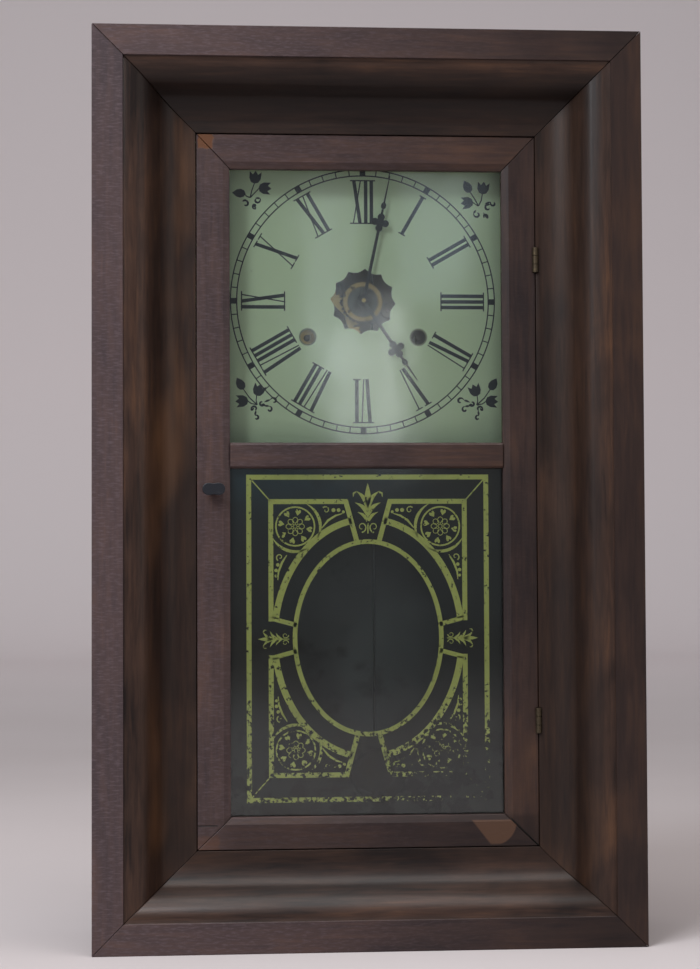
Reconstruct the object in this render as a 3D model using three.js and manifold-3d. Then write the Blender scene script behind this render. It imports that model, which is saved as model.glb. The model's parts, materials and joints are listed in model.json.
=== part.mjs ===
// Ogee shelf clock: a veneered pine case with a glazed door, and a thirty-hour
// weight-driven brass movement with count-wheel strike on a coil gong.
//
// Millimetres, +Z up. The origin is the middle of the case's footprint, the
// front faces -Y. Depths are written as distances behind the case's front plane.

import * as THREE from 'three';
import { mergeVertices } from 'three/addons/utils/BufferGeometryUtils.js';
import Module from 'manifold-3d';

const wasm = await Module();
wasm.setup();

// ---------------------------------------------------------------- driving sizes

// Case
const CASE_WIDTH = 394;
const CASE_HEIGHT = 657;
const CASE_DEPTH = 112;
const BOARD_THICKNESS = 12;
const BACKBOARD_THICKNESS = 6;
const BACKBOARD_RABBET = 6;

// Ogee moulding
const SIDE_RAIL_WIDTH = 73.5;
const TOP_RAIL_WIDTH = 72.5;
const BOTTOM_RAIL_WIDTH = 69;
const RAIL_DEPTH = 40;
const BAND_WIDTH = 22;
const QUIRK_DEPTH = 1.5;
const OGEE_DROP = 23.5;
const TOE_FLAT = 7;
const OGEE_ARC_STEPS = 6;
const MITRE_CLEARANCE = 0.2;

// Door
const DOOR_GAP = 0.6;
const DOOR_SETBACK = 1;
const DOOR_THICKNESS = 14;
const STILE_WIDTH = 23.9;
const DOOR_TOP_RAIL = 24.7;
const DOOR_MIDDLE_RAIL = 18.6;
const DOOR_BOTTOM_RAIL = 22.8;
const DOOR_BEVEL_WIDTH = 5;
const DOOR_BEVEL_DROP = 2.5;
const GLASS_RABBET_DEPTH = 8;
const GLASS_RABBET_WIDTH = 4;
const GLASS_THICKNESS = 1.6;
const GLASS_EDGE_PLAY = 0.5;
const DIAL_WINDOW_HEIGHT = 198.2;
const MIDDLE_RAIL_SETBACK = 0.8;
const MIDDLE_RAIL_BEVEL = 1.5;

// Door furniture
const HINGE_LENGTH = 18;
const HINGE_INSET = 81;
const HINGE_BARREL_RADIUS = 2.2;
const HINGE_PIN_RADIUS = 0.9;
const HINGE_AXIS_PROUD = 1.4;
const HINGE_LEAF_THICKNESS = 0.9;
const HINGE_LEAF_REACH = 9;
const KNOB_LENGTH = 16.4;
const KNOB_HEIGHT = 10;
const KNOB_PROUD = 10;
const KNOB_FOOT_RADIUS = 4;
const KNOB_SHAFT_RADIUS = 2;
const KNOB_DROP = 0.5;
const TONGUE_LENGTH = 22;
const TONGUE_WIDTH = 8;
const TONGUE_THICKNESS = 1.5;

// Inside of the case
const CHANNEL_BOARD_THICKNESS = 10;
const CHANNEL_WIDTH = 53;
const CHANNEL_BOARD_DROP = 57;
const SEAT_BOARD_THICKNESS = 12;
const DIAL_DEPTH = 58;
const DIAL_THICKNESS = 0.8;
const DIAL_WIDTH = 252;
const DIAL_TOP_LAP = 32.8;
const DIAL_BOTTOM_LAP = 17;
const DIAL_CENTRE_DROP = 92.2;
const STAR_TIP_RADIUS = 24.3;
const STAR_VALLEY_RADIUS = 21.6;
const STAR_POINTS = 12;
const STAR_TURN = 4;
const WINDING_HOLE_RADIUS = 5.4;

// Movement
const PLATE_THICKNESS = 1.5;
const FRONT_PLATE_DEPTH = 70.3;
const BACK_PLATE_DEPTH = 97;
const PLATE_HALF_WIDTH = 76;
const PLATE_RISE = 76;
const PLATE_DROP = 72;
const PILLAR_RADIUS = 3;
const WHEEL_THICKNESS = 1.2;
const GREAT_WHEEL_THICKNESS = 1.6;
// The motion work is shallow, so its wheels are thinner than the rest.
const MOTION_WHEEL_THICKNESS = 0.8;
const ARBOR_RADIUS = 1.3;
const PIVOT_RADIUS = 0.8;
const PIVOT_PROUD = 1.2;
const RUNNING_GAP = 0.3;
const WINDING_OFFSET = 41;
const WINDING_DROP = 26.4;
const WINDING_ARBOR_RADIUS = 2.2;
const WINDING_SQUARE_DEPTH = 60;
const DRUM_RADIUS = 14;
const DRUM_FLANGE_RADIUS = 16.5;
const DRUM_LENGTH = 11;
const DRUM_FLANGE_THICKNESS = 1;
const RATCHET_TEETH = 16;
const RATCHET_RADIUS = 15;
const RATCHET_TOOTH_HEIGHT = 1.6;
const CLICK_ANGLE = 72;
const CLICK_LEAD = 50;
const CORD_PLANE_DEPTH = 80;
const CORD_RADIUS = 0.9;

// Wheel counts and modules
const GREAT_TEETH = 72;
const CENTRE_LEAVES = 12;
const CENTRE_TEETH = 72;
const CENTRE_MODULE = 0.78;
const THIRD_LEAVES = 8;
const THIRD_TEETH = 60;
const THIRD_MODULE = 0.7;
const ESCAPE_LEAVES = 8;
const ESCAPE_TEETH = 42;
const ESCAPE_RADIUS = 16;
const CANNON_LEAVES = 8;
const MINUTE_WHEEL_TEETH = 24;
const MINUTE_LEAVES = 8;
const HOUR_WHEEL_TEETH = 32;
const MOTION_WORK_DISTANCE = 20;
const MINUTE_STUD_ANGLE = -20;
const STRIKE_GREAT_TEETH = 78;
const STRIKE_MODULE = 0.95;
const PIN_WHEEL_LEAVES = 12;
const PIN_WHEEL_TEETH = 48;
const PIN_WHEEL_MODULE = 0.75;
const LIFTING_PINS = 6;
const LIFTING_PIN_CIRCLE = 13.5;
const LOCKING_LEAVES = 8;
const LOCKING_TEETH = 56;
const LOCKING_MODULE = 0.65;
const FLY_LEAVES = 8;
const COUNT_WHEEL_TEETH = 78;
const COUNT_LEAVES = 6;
const COUNT_SLOT_DEPTH = 3;
const HOURS_COUNTED = 12;
const ADDENDUM = 0.85;
const DEDENDUM = 0.95;
const TRUNDLE_RADIUS = 0.42;
const COLLET_SIDES = 8;
const COLLET_THICKNESS = 0.6;
// Pinions reach past the wheel that drives them by this much on each side.
const PINION_MARGIN = 1.2;
const FLY_RADIUS = 14.5;
const FLY_LENGTH = 13;
const LOCKING_CAM_RADIUS = 6.5;
const PIN_WHEEL_BEARING = 102;
const LOCKING_BEARING = 60;
const FLY_BEARING = 75;

// Depths of the wheels, each the front face of its wheel
const HOUR_WHEEL_DEPTH = 60.4;
const MINUTE_WHEEL_DEPTH = 62.65;
const COUNT_WHEEL_DEPTH = 67.6;
const ESCAPE_WHEEL_DEPTH = 68;
const THIRD_WHEEL_DEPTH = 75.6;
const LOCKING_CAM_DEPTH = 77.6;
const CENTRE_WHEEL_DEPTH = 83;
const PIN_WHEEL_DEPTH = 84;
const RATCHET_DEPTH = 87.2;
const GREAT_WHEEL_DEPTH = 90;
const HAMMER_WIRE_DEPTH = 94.4;

// Pendulum and escapement
const PENDULUM_OFFSET = 7.5;
const SUSPENSION_RISE = 62;
const ESCAPE_DROP = 22;
const ROD_DEPTH = 65.7;
const ROD_RADIUS = 0.8;
const PENDULUM_LENGTH = 407;
const BOB_RADIUS = 17;
const BOB_THICKNESS = 9;
const NUT_HEIGHT = 3;
const RATING_TRAVEL = 6;
const CRUTCH_LENGTH = 77;
const CRUTCH_DEPTH = 67.4;
const CRUTCH_WIRE_RADIUS = 0.35;
const PALLET_ANGLE = 43.3;
const PALLET_STANDOFF = 1;
const SPRING_WIDTH = 2;
const SPRING_THICKNESS = 0.3;

// Hands
const HAND_THICKNESS = 0.8;
const MINUTE_HAND_LENGTH = 94.3;
const HOUR_HAND_LENGTH = 70.6;
const MINUTE_HAND_DEPTH = 51.4;
const HOUR_HAND_DEPTH = 54.4;
const MINUTE_HAND_ANGLE = 12.1;
const HOUR_HAND_ANGLE = 145.9;

// Weights, pulleys and cords
const WEIGHT_RADIUS = 21;
const WEIGHT_HEIGHT = 120;
const WEIGHT_EYE_RADIUS = 4.5;
const WEIGHT_EYE_WIRE = 1.3;
const PULLEY_RADIUS = 18;
const PULLEY_GROOVE_RADIUS = 14.8;
const PULLEY_WIDTH = 7;
const PULLEY_AXLE_RADIUS = 2;
const PULLEY_AXLE_LENGTH = 17;
const PULLEY_DROP = 8;
const PULLEY_SLOT_WIDTH = 11;
const PULLEY_SLOT_PLAY = 5;
const COVER_HEIGHT = 13;
const COVER_WALL = 0.8;
const COVER_MARGIN = 3;

// Gong and hammer
const GONG_RADIUS = 36;
const GONG_WIRE_RADIUS = 1.6;
const GONG_TURNS = 3.5;
const GONG_PITCH = 6;
const GONG_HEIGHT = 78;
const GONG_OFFSET = -5;
const GONG_BOSS_RADIUS = 8;
const GONG_BOSS_SIDES = 16;
const HAMMER_HEAD_RADIUS = 5;
const HAMMER_HEAD_LENGTH = 9;
const HAMMER_WIRE_RADIUS = 0.9;
const HAMMER_LIFT = 6;
const LOCK_BLADE_BEARING = 118;

// ---------------------------------------------------------------- small helpers

const FULL_TURN = 2 * Math.PI;
const radians = THREE.MathUtils.degToRad;
const behindFront = depth => depth - CASE_DEPTH / 2;

// Merges shared corners, drops empty triangles and turns the faces outwards.
function closedMesh(geometry) {
  const bare = geometry.clone();
  bare.deleteAttribute('normal');
  bare.deleteAttribute('uv');
  const merged = mergeVertices(bare, 1e-4);
  const corner = merged.attributes.position;
  const source = merged.index.array;
  const triangles = [];
  let volume = 0;
  const a = new THREE.Vector3();
  const b = new THREE.Vector3();
  const c = new THREE.Vector3();
  for (let i = 0; i < source.length; i += 3) {
    const [ia, ib, ic] = [source[i], source[i + 1], source[i + 2]];
    if (ia === ib || ib === ic || ic === ia) continue;
    triangles.push([ia, ib, ic]);
    a.fromBufferAttribute(corner, ia);
    b.fromBufferAttribute(corner, ib);
    c.fromBufferAttribute(corner, ic);
    volume += a.dot(b.cross(c));
  }
  const outward = volume > 0 ? triangles : triangles.map(([p, q, r]) => [p, r, q]);
  return new wasm.Mesh({
    numProp: 3,
    vertProperties: new Float32Array(corner.array),
    triVerts: new Uint32Array(outward.flat()),
  });
}

const solid = geometry => new wasm.Manifold(closedMesh(geometry));

function geometryOf(body) {
  const mesh = body.getMesh();
  const geometry = new THREE.BufferGeometry();
  const corners = new Float32Array(mesh.vertProperties);
  geometry.setAttribute('position', new THREE.BufferAttribute(corners, 3));
  geometry.setIndex(new THREE.BufferAttribute(new Uint32Array(mesh.triVerts), 1));
  geometry.computeVertexNormals();
  return geometry;
}

const join = (first, ...others) => others.reduce((sum, next) => sum.add(next), first);
const cut = (first, ...others) => others.reduce((rest, next) => rest.subtract(next), first);

function block(x0, x1, y0, y1, z0, z1) {
  const box = new THREE.BoxGeometry(x1 - x0, y1 - y0, z1 - z0);
  box.translate((x0 + x1) / 2, (y0 + y1) / 2, (z0 + z1) / 2);
  return solid(box);
}

// A round bar along Y, from the front depth to the back depth.
function barY(x, z, radius, frontDepth, backDepth, sides = 8) {
  const length = backDepth - frontDepth;
  const bar = new THREE.CylinderGeometry(radius, radius, length, sides);
  bar.translate(x, behindFront(frontDepth + length / 2), z);
  return solid(bar);
}

function barZ(x, y, radius, z0, z1, sides = 8) {
  const bar = new THREE.CylinderGeometry(radius, radius, z1 - z0, sides);
  bar.rotateX(Math.PI / 2);
  bar.translate(x, y, (z0 + z1) / 2);
  return solid(bar);
}

// A body of revolution about a Y axis through (x, z); the profile holds
// [radius, depth] pairs from the front to the back, starting and ending on the axis.
function turned(x, z, profile, sides = 16) {
  const points = profile.map(([radius, depth]) => new THREE.Vector2(radius, behindFront(depth)));
  const body = new THREE.LatheGeometry(points, sides);
  body.translate(x, 0, z);
  return solid(body);
}

// A flat plate: an outline in the X-Z plane, given its front depth and thickness.
function plate(outline, frontDepth, thickness) {
  const body = new THREE.ExtrudeGeometry(outline, {
    depth: thickness, bevelEnabled: false, curveSegments: 6,
  });
  body.rotateX(Math.PI / 2);
  body.translate(0, behindFront(frontDepth + thickness), 0);
  return solid(body);
}

const polar = (centre, radius, angle) => new THREE.Vector2(
  centre.x + radius * Math.cos(angle), centre.y + radius * Math.sin(angle));

function circlePath(centre, radius, sides) {
  const points = [];
  for (let i = 0; i < sides; i += 1) points.push(polar(centre, radius, i * FULL_TURN / sides));
  return new THREE.Path(points);
}

const angleFrom = (from, to) => Math.atan2(to.y - from.y, to.x - from.x);

// The point at the given distances from two centres, on the left of the line
// from the first to the second when side is +1.
function thirdCorner(first, firstDistance, second, secondDistance, side) {
  const span = first.distanceTo(second);
  const along = (firstDistance ** 2 - secondDistance ** 2 + span ** 2) / (2 * span);
  const off = Math.sqrt(firstDistance ** 2 - along ** 2);
  const heading = angleFrom(first, second);
  const foot = polar(first, along, heading);
  return polar(foot, side * off, heading + Math.PI / 2);
}

// A tube of a few sides along hand-set points that lie about in an X-Z plane.
function tubeAlong(points, radius, sides) {
  const across = new THREE.Vector3(0, 1, 0);
  const corners = [];
  const count = points.length;
  for (let i = 0; i < count; i += 1) {
    const before = points[Math.max(i - 1, 0)];
    const after = points[Math.min(i + 1, count - 1)];
    const heading = after.clone().sub(before).normalize();
    const side = across.clone().addScaledVector(heading, -across.dot(heading)).normalize();
    const up = heading.clone().cross(side);
    for (let k = 0; k < sides; k += 1) {
      const angle = k * FULL_TURN / sides;
      const corner = points[i].clone();
      corner.addScaledVector(side, radius * Math.cos(angle));
      corner.addScaledVector(up, radius * Math.sin(angle));
      corners.push(corner.x, corner.y, corner.z);
    }
  }
  const faces = [];
  for (let i = 0; i < count - 1; i += 1) {
    for (let k = 0; k < sides; k += 1) {
      const a = i * sides + k;
      const b = i * sides + (k + 1) % sides;
      faces.push(a, b, b + sides, a, b + sides, a + sides);
    }
  }
  const last = (count - 1) * sides;
  for (let k = 1; k < sides - 1; k += 1) {
    faces.push(0, k + 1, k);
    faces.push(last, last + k, last + k + 1);
  }
  const geometry = new THREE.BufferGeometry();
  geometry.setAttribute('position', new THREE.Float32BufferAttribute(corners, 3));
  geometry.setIndex(faces);
  return solid(geometry);
}

// ---------------------------------------------------------------- derived places

const halfWidth = CASE_WIDTH / 2;
const doorwayRight = halfWidth - SIDE_RAIL_WIDTH;
const doorwayBottom = BOTTOM_RAIL_WIDTH;
const doorwayTop = CASE_HEIGHT - TOP_RAIL_WIDTH;
const toeDepth = QUIRK_DEPTH + OGEE_DROP;
const doorFaceDepth = toeDepth + DOOR_SETBACK;
const doorBackDepth = doorFaceDepth + DOOR_THICKNESS;
const doorRight = doorwayRight - DOOR_GAP;
const doorBottom = doorwayBottom + DOOR_GAP;
const doorTop = doorwayTop - DOOR_GAP;
const windowRight = doorRight - STILE_WIDTH;
const dialWindowTop = doorTop - DOOR_TOP_RAIL;
const middleRailTop = dialWindowTop - DIAL_WINDOW_HEIGHT;
const middleRailBottom = middleRailTop - DOOR_MIDDLE_RAIL;
const tabletBottom = doorBottom + DOOR_BOTTOM_RAIL;
const glassDepth = doorFaceDepth + GLASS_RABBET_DEPTH;
const backboardDepth = CASE_DEPTH - BACKBOARD_THICKNESS;
const sideInner = halfWidth - BOARD_THICKNESS;
const caseFloor = BOARD_THICKNESS;
const channelOuter = sideInner - CHANNEL_WIDTH;
const channelInner = channelOuter - CHANNEL_BOARD_THICKNESS;
const channelBoardTop = CASE_HEIGHT - CHANNEL_BOARD_DROP;
const pulleyHeight = CASE_HEIGHT - PULLEY_DROP;
const dialTop = dialWindowTop + DIAL_TOP_LAP;
const dialBottom = middleRailTop - DIAL_BOTTOM_LAP;
const dialBackDepth = DIAL_DEPTH + DIAL_THICKNESS;

const centre = new THREE.Vector2(0, dialWindowTop - DIAL_CENTRE_DROP);
const timeBarrel = new THREE.Vector2(WINDING_OFFSET, centre.y - WINDING_DROP);
const strikeBarrel = new THREE.Vector2(-WINDING_OFFSET, centre.y - WINDING_DROP);
const suspension = new THREE.Vector2(PENDULUM_OFFSET, centre.y + SUSPENSION_RISE);
const escape = new THREE.Vector2(PENDULUM_OFFSET, suspension.y - ESCAPE_DROP);
const plateBottom = centre.y - PLATE_DROP;
const plateTop = centre.y + PLATE_RISE;
const frontPlateBack = FRONT_PLATE_DEPTH + PLATE_THICKNESS;

const pitchRadius = (teeth, module) => teeth * module / 2;
const meshDistance = (teeth, leaves, module) => (teeth + leaves) * module / 2;

const greatModule = 2 * centre.distanceTo(timeBarrel) / (GREAT_TEETH + CENTRE_LEAVES);
const third = thirdCorner(
  centre, meshDistance(CENTRE_TEETH, THIRD_LEAVES, CENTRE_MODULE),
  escape, meshDistance(THIRD_TEETH, ESCAPE_LEAVES, THIRD_MODULE), -1);
const minuteStud = polar(centre, MOTION_WORK_DISTANCE, radians(MINUTE_STUD_ANGLE));
const cannonModule = 2 * MOTION_WORK_DISTANCE / (CANNON_LEAVES + MINUTE_WHEEL_TEETH);
const hourModule = 2 * MOTION_WORK_DISTANCE / (MINUTE_LEAVES + HOUR_WHEEL_TEETH);

const pinWheel = polar(strikeBarrel,
  meshDistance(STRIKE_GREAT_TEETH, PIN_WHEEL_LEAVES, STRIKE_MODULE), radians(PIN_WHEEL_BEARING));
const locking = polar(pinWheel,
  meshDistance(PIN_WHEEL_TEETH, LOCKING_LEAVES, PIN_WHEEL_MODULE), radians(LOCKING_BEARING));
const fly = polar(locking,
  meshDistance(LOCKING_TEETH, FLY_LEAVES, LOCKING_MODULE), radians(FLY_BEARING));
const countModule = 2 * strikeBarrel.distanceTo(pinWheel) / (COUNT_WHEEL_TEETH + COUNT_LEAVES);
const hammerArbor = new THREE.Vector2(-72.5, centre.y + 4);
const lockArbor = new THREE.Vector2(-66, centre.y + 44);

const pulleyReach = PULLEY_GROOVE_RADIUS + CORD_RADIUS + RUNNING_GAP;
const weightX = (sideInner + channelOuter) / 2;
const pulleyX = weightX - pulleyReach;
const weightBottom = caseFloor + RUNNING_GAP;
const weightTop = weightBottom + WEIGHT_HEIGHT;
const bobHeight = suspension.y - PENDULUM_LENGTH;

// ---------------------------------------------------------------- case

// Four mitred lengths round a rectangle. Each section is a list of
// [distance in from the outer edge, depth] with the same count of points.
function mitredFrame(outer, sections) {
  const { left, right, bottom, top } = sections;
  const lay = (startOf, endOf) => {
    const count = left.length;
    const corners = [];
    for (let i = 0; i < count; i += 1) corners.push(...startOf(i));
    for (let i = 0; i < count; i += 1) corners.push(...endOf(i));
    const faces = [];
    for (let i = 0; i < count; i += 1) {
      const next = (i + 1) % count;
      faces.push(i, next, count + next, i, count + next, count + i);
    }
    const outline = left.map(([inward, depth]) => new THREE.Vector2(inward, depth));
    for (const [a, b, c] of THREE.ShapeUtils.triangulateShape(outline, [])) {
      const ccw = THREE.ShapeUtils.isClockWise(outline);
      faces.push(...(ccw ? [a, b, c] : [a, c, b]));
      faces.push(...(ccw ? [count + a, count + c, count + b] : [count + a, count + b, count + c]));
    }
    const geometry = new THREE.BufferGeometry();
    geometry.setAttribute('position', new THREE.Float32BufferAttribute(corners, 3));
    geometry.setIndex(faces);
    return solid(geometry);
  };
  const y = i => behindFront(left[i][1]);
  const low = i => outer.z0 + bottom[i][0];
  const high = i => outer.z1 - top[i][0];
  const near = i => outer.x0 + left[i][0];
  const far = i => outer.x1 - right[i][0];
  const gap = MITRE_CLEARANCE;
  return {
    left: lay(i => [near(i), y(i), low(i) + gap], i => [near(i), y(i), high(i) - gap]),
    right: lay(i => [far(i), y(i), low(i) + gap], i => [far(i), y(i), high(i) - gap]),
    bottom: lay(i => [near(i) + gap, y(i), low(i)], i => [far(i) - gap, y(i), low(i)]),
    top: lay(i => [near(i) + gap, y(i), high(i)], i => [far(i) - gap, y(i), high(i)]),
  };
}

// Flat band, quirk, a convex arc running into an equal hollow arc, and a flat toe.
function ogeeSection(width) {
  const run = width - BAND_WIDTH - TOE_FLAT;
  const sweep = 2 * Math.atan(OGEE_DROP / run);
  const radius = run / (2 * Math.sin(sweep));
  const section = [[0, RAIL_DEPTH], [0, 0], [BAND_WIDTH, 0]];
  for (let i = 0; i <= OGEE_ARC_STEPS; i += 1) {
    const angle = sweep * i / OGEE_ARC_STEPS;
    section.push([
      BAND_WIDTH + radius * Math.sin(angle),
      QUIRK_DEPTH + radius * (1 - Math.cos(angle)),
    ]);
  }
  for (let i = OGEE_ARC_STEPS - 1; i >= 0; i -= 1) {
    const angle = sweep * i / OGEE_ARC_STEPS;
    section.push([
      width - TOE_FLAT - radius * Math.sin(angle),
      toeDepth - radius * (1 - Math.cos(angle)),
    ]);
  }
  section.push([width, toeDepth], [width, RAIL_DEPTH]);
  return section;
}

const hingeHeights = {
  upper: doorTop - HINGE_INSET - HINGE_LENGTH / 2,
  lower: doorBottom + HINGE_INSET + HINGE_LENGTH / 2,
};
const hingeAxisX = (doorRight + doorwayRight) / 2;
const hingeAxisDepth = doorFaceDepth - HINGE_AXIS_PROUD;
const hingeLeafBack = hingeAxisDepth + HINGE_BARREL_RADIUS + HINGE_LEAF_REACH;

// The space that a hinge's barrel turns in, and the two recesses for its leaves.
function barrelSpace(height) {
  return barZ(hingeAxisX, behindFront(hingeAxisDepth), HINGE_BARREL_RADIUS + RUNNING_GAP,
    height - HINGE_LENGTH / 2 - RUNNING_GAP, height + HINGE_LENGTH / 2 + RUNNING_GAP, 14);
}

function leafRecess(height, faceX, into) {
  const x0 = Math.min(faceX, faceX + into * HINGE_LEAF_THICKNESS);
  return block(x0, x0 + HINGE_LEAF_THICKNESS,
    behindFront(hingeAxisDepth), behindFront(hingeLeafBack),
    height - HINGE_LENGTH / 2, height + HINGE_LENGTH / 2);
}

function ogeeRails() {
  const rails = mitredFrame(
    { x0: -halfWidth, x1: halfWidth, z0: 0, z1: CASE_HEIGHT },
    {
      left: ogeeSection(SIDE_RAIL_WIDTH),
      right: ogeeSection(SIDE_RAIL_WIDTH),
      bottom: ogeeSection(BOTTOM_RAIL_WIDTH),
      top: ogeeSection(TOP_RAIL_WIDTH),
    });
  for (const height of Object.values(hingeHeights)) {
    rails.right = cut(rails.right, barrelSpace(height), leafRecess(height, doorwayRight, 1));
  }
  return rails;
}

// A side board from the rail back to the rear edge, rabbeted for the backboard.
function caseSide(side) {
  const outer = side * halfWidth;
  const inner = side * sideInner;
  const [x0, x1] = [Math.min(outer, inner), Math.max(outer, inner)];
  const board = block(x0, x1, behindFront(RAIL_DEPTH), behindFront(CASE_DEPTH), 0, CASE_HEIGHT);
  const rabbetX = [inner, inner + side * BACKBOARD_RABBET];
  const rabbet = block(Math.min(...rabbetX) - (side > 0 ? 1 : 0),
    Math.max(...rabbetX) + (side > 0 ? 0 : 1),
    behindFront(backboardDepth), behindFront(CASE_DEPTH) + 1,
    BOARD_THICKNESS - BACKBOARD_RABBET, CASE_HEIGHT - BOARD_THICKNESS + BACKBOARD_RABBET);
  return cut(board, rabbet);
}

function crossBoard(z0, z1, rabbetZ0, rabbetZ1) {
  const board = block(-sideInner, sideInner,
    behindFront(RAIL_DEPTH), behindFront(CASE_DEPTH), z0, z1);
  const rabbet = block(-sideInner - 1, sideInner + 1,
    behindFront(backboardDepth), behindFront(CASE_DEPTH) + 1, rabbetZ0, rabbetZ1);
  return cut(board, rabbet);
}

const pulleySlotHalf = PULLEY_RADIUS + PULLEY_SLOT_PLAY;
const axleBoreSides = 12;

function topBoard() {
  const base = CASE_HEIGHT - BOARD_THICKNESS;
  let board = crossBoard(base, CASE_HEIGHT, base - 1, base + BACKBOARD_RABBET);
  for (const side of [-1, 1]) {
    const x = side * pulleyX;
    const slot = block(x - pulleySlotHalf, x + pulleySlotHalf,
      behindFront(CORD_PLANE_DEPTH - PULLEY_SLOT_WIDTH / 2),
      behindFront(CORD_PLANE_DEPTH + PULLEY_SLOT_WIDTH / 2), base - 1, CASE_HEIGHT + 1);
    const reach = PULLEY_AXLE_LENGTH / 2 + RUNNING_GAP;
    const bore = barY(x, pulleyHeight, PULLEY_AXLE_RADIUS + RUNNING_GAP,
      CORD_PLANE_DEPTH - reach, CORD_PLANE_DEPTH + reach, axleBoreSides);
    board = cut(board, slot, bore);
  }
  return board;
}

function bottomBoard() {
  return crossBoard(0, caseFloor, BOARD_THICKNESS - BACKBOARD_RABBET, caseFloor + 1);
}

function backboard() {
  const edge = sideInner + BACKBOARD_RABBET;
  return block(-edge, edge, behindFront(backboardDepth), behindFront(CASE_DEPTH),
    BOARD_THICKNESS - BACKBOARD_RABBET, CASE_HEIGHT - BOARD_THICKNESS + BACKBOARD_RABBET);
}

function channelBoard(side) {
  const x = [side * channelInner, side * channelOuter];
  return block(Math.min(...x), Math.max(...x), behindFront(dialBackDepth),
    behindFront(backboardDepth), caseFloor, channelBoardTop);
}


function seatBoard() {
  const board = block(-channelInner, channelInner,
    behindFront(FRONT_PLATE_DEPTH - 1), behindFront(backboardDepth),
    plateBottom - SEAT_BOARD_THICKNESS, plateBottom);
  const reach = (hammerArbor.y - plateBottom + SEAT_BOARD_THICKNESS) * Math.sin(radians(HAMMER_LIFT));
  const play = 2;
  const slot = block(hammerArbor.x - reach - play, hammerArbor.x + 3 * play,
    behindFront(HAMMER_WIRE_DEPTH - play), behindFront(HAMMER_WIRE_DEPTH + play),
    plateBottom - SEAT_BOARD_THICKNESS - 1, plateBottom + 1);
  return cut(board, slot);
}

function pulleyCover(side) {
  const x = side * pulleyX;
  const half = pulleySlotHalf + COVER_MARGIN;
  const depthHalf = PULLEY_SLOT_WIDTH / 2 + COVER_MARGIN;
  const arch = (halfSpan, rise) => {
    const radius = (halfSpan ** 2 + rise ** 2) / (2 * rise);
    const spread = Math.asin(halfSpan / radius);
    const points = [];
    const steps = 8;
    for (let i = 0; i <= steps; i += 1) {
      const angle = Math.PI / 2 - spread + 2 * spread * i / steps;
      points.push(new THREE.Vector2(x + radius * Math.cos(angle),
        CASE_HEIGHT + rise - radius + radius * Math.sin(angle)));
    }
    return points;
  };
  const shell = plate(new THREE.Shape(arch(half, COVER_HEIGHT)),
    CORD_PLANE_DEPTH - depthHalf, 2 * depthHalf);
  const inside = arch(half - COVER_WALL, COVER_HEIGHT - COVER_WALL);
  inside.push(new THREE.Vector2(x - half + COVER_WALL, CASE_HEIGHT - 1));
  inside.push(new THREE.Vector2(x + half - COVER_WALL, CASE_HEIGHT - 1));
  return cut(shell, plate(new THREE.Shape(inside),
    CORD_PLANE_DEPTH - depthHalf + COVER_WALL, 2 * (depthHalf - COVER_WALL)));
}

// ---------------------------------------------------------------- door

function doorSection(width) {
  return [
    [0, doorFaceDepth],
    [width - DOOR_BEVEL_WIDTH, doorFaceDepth],
    [width, doorFaceDepth + DOOR_BEVEL_DROP],
    [width, glassDepth],
    [width - GLASS_RABBET_WIDTH, glassDepth],
    [width - GLASS_RABBET_WIDTH, doorBackDepth],
    [0, doorBackDepth],
  ];
}

const knobPlace = new THREE.Vector2(
  -doorRight + STILE_WIDTH / 2, (doorBottom + doorTop) / 2 + KNOB_DROP);

function doorFrame() {
  const frame = mitredFrame(
    { x0: -doorRight, x1: doorRight, z0: doorBottom, z1: doorTop },
    {
      left: doorSection(STILE_WIDTH),
      right: doorSection(STILE_WIDTH),
      bottom: doorSection(DOOR_BOTTOM_RAIL),
      top: doorSection(DOOR_TOP_RAIL),
    });
  for (const height of Object.values(hingeHeights)) {
    frame.right = cut(frame.right, barrelSpace(height), leafRecess(height, doorRight, -1));
  }
  frame.left = cut(frame.left, barY(knobPlace.x, knobPlace.y,
    KNOB_SHAFT_RADIUS + RUNNING_GAP, doorFaceDepth - 1, doorBackDepth + 1, 12));
  return frame;
}

function middleRail() {
  const face = doorFaceDepth + MIDDLE_RAIL_SETBACK;
  const section = new THREE.Shape();
  section.moveTo(face + MIDDLE_RAIL_BEVEL, middleRailBottom);
  section.lineTo(face, middleRailBottom + MIDDLE_RAIL_BEVEL);
  section.lineTo(face, middleRailTop - MIDDLE_RAIL_BEVEL);
  section.lineTo(face + MIDDLE_RAIL_BEVEL, middleRailTop);
  section.lineTo(glassDepth, middleRailTop);
  section.lineTo(glassDepth, middleRailBottom);
  const front = new THREE.ExtrudeGeometry(section, { depth: 2 * windowRight, bevelEnabled: false });
  front.translate(-CASE_DEPTH / 2, 0, -windowRight);
  front.applyMatrix4(new THREE.Matrix4().makeBasis(
    new THREE.Vector3(0, 1, 0), new THREE.Vector3(0, 0, 1), new THREE.Vector3(1, 0, 0)));
  const tongueEnd = windowRight + GLASS_RABBET_WIDTH;
  const tongue = block(-tongueEnd, tongueEnd, behindFront(glassDepth), behindFront(doorBackDepth),
    middleRailBottom + GLASS_RABBET_WIDTH, middleRailTop - GLASS_RABBET_WIDTH);
  return join(solid(front), tongue);
}

function pane(z0, z1) {
  const lap = GLASS_RABBET_WIDTH - GLASS_EDGE_PLAY;
  return block(-windowRight - lap, windowRight + lap, behindFront(glassDepth),
    behindFront(glassDepth + GLASS_THICKNESS), z0 - lap, z1 + lap);
}

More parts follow.
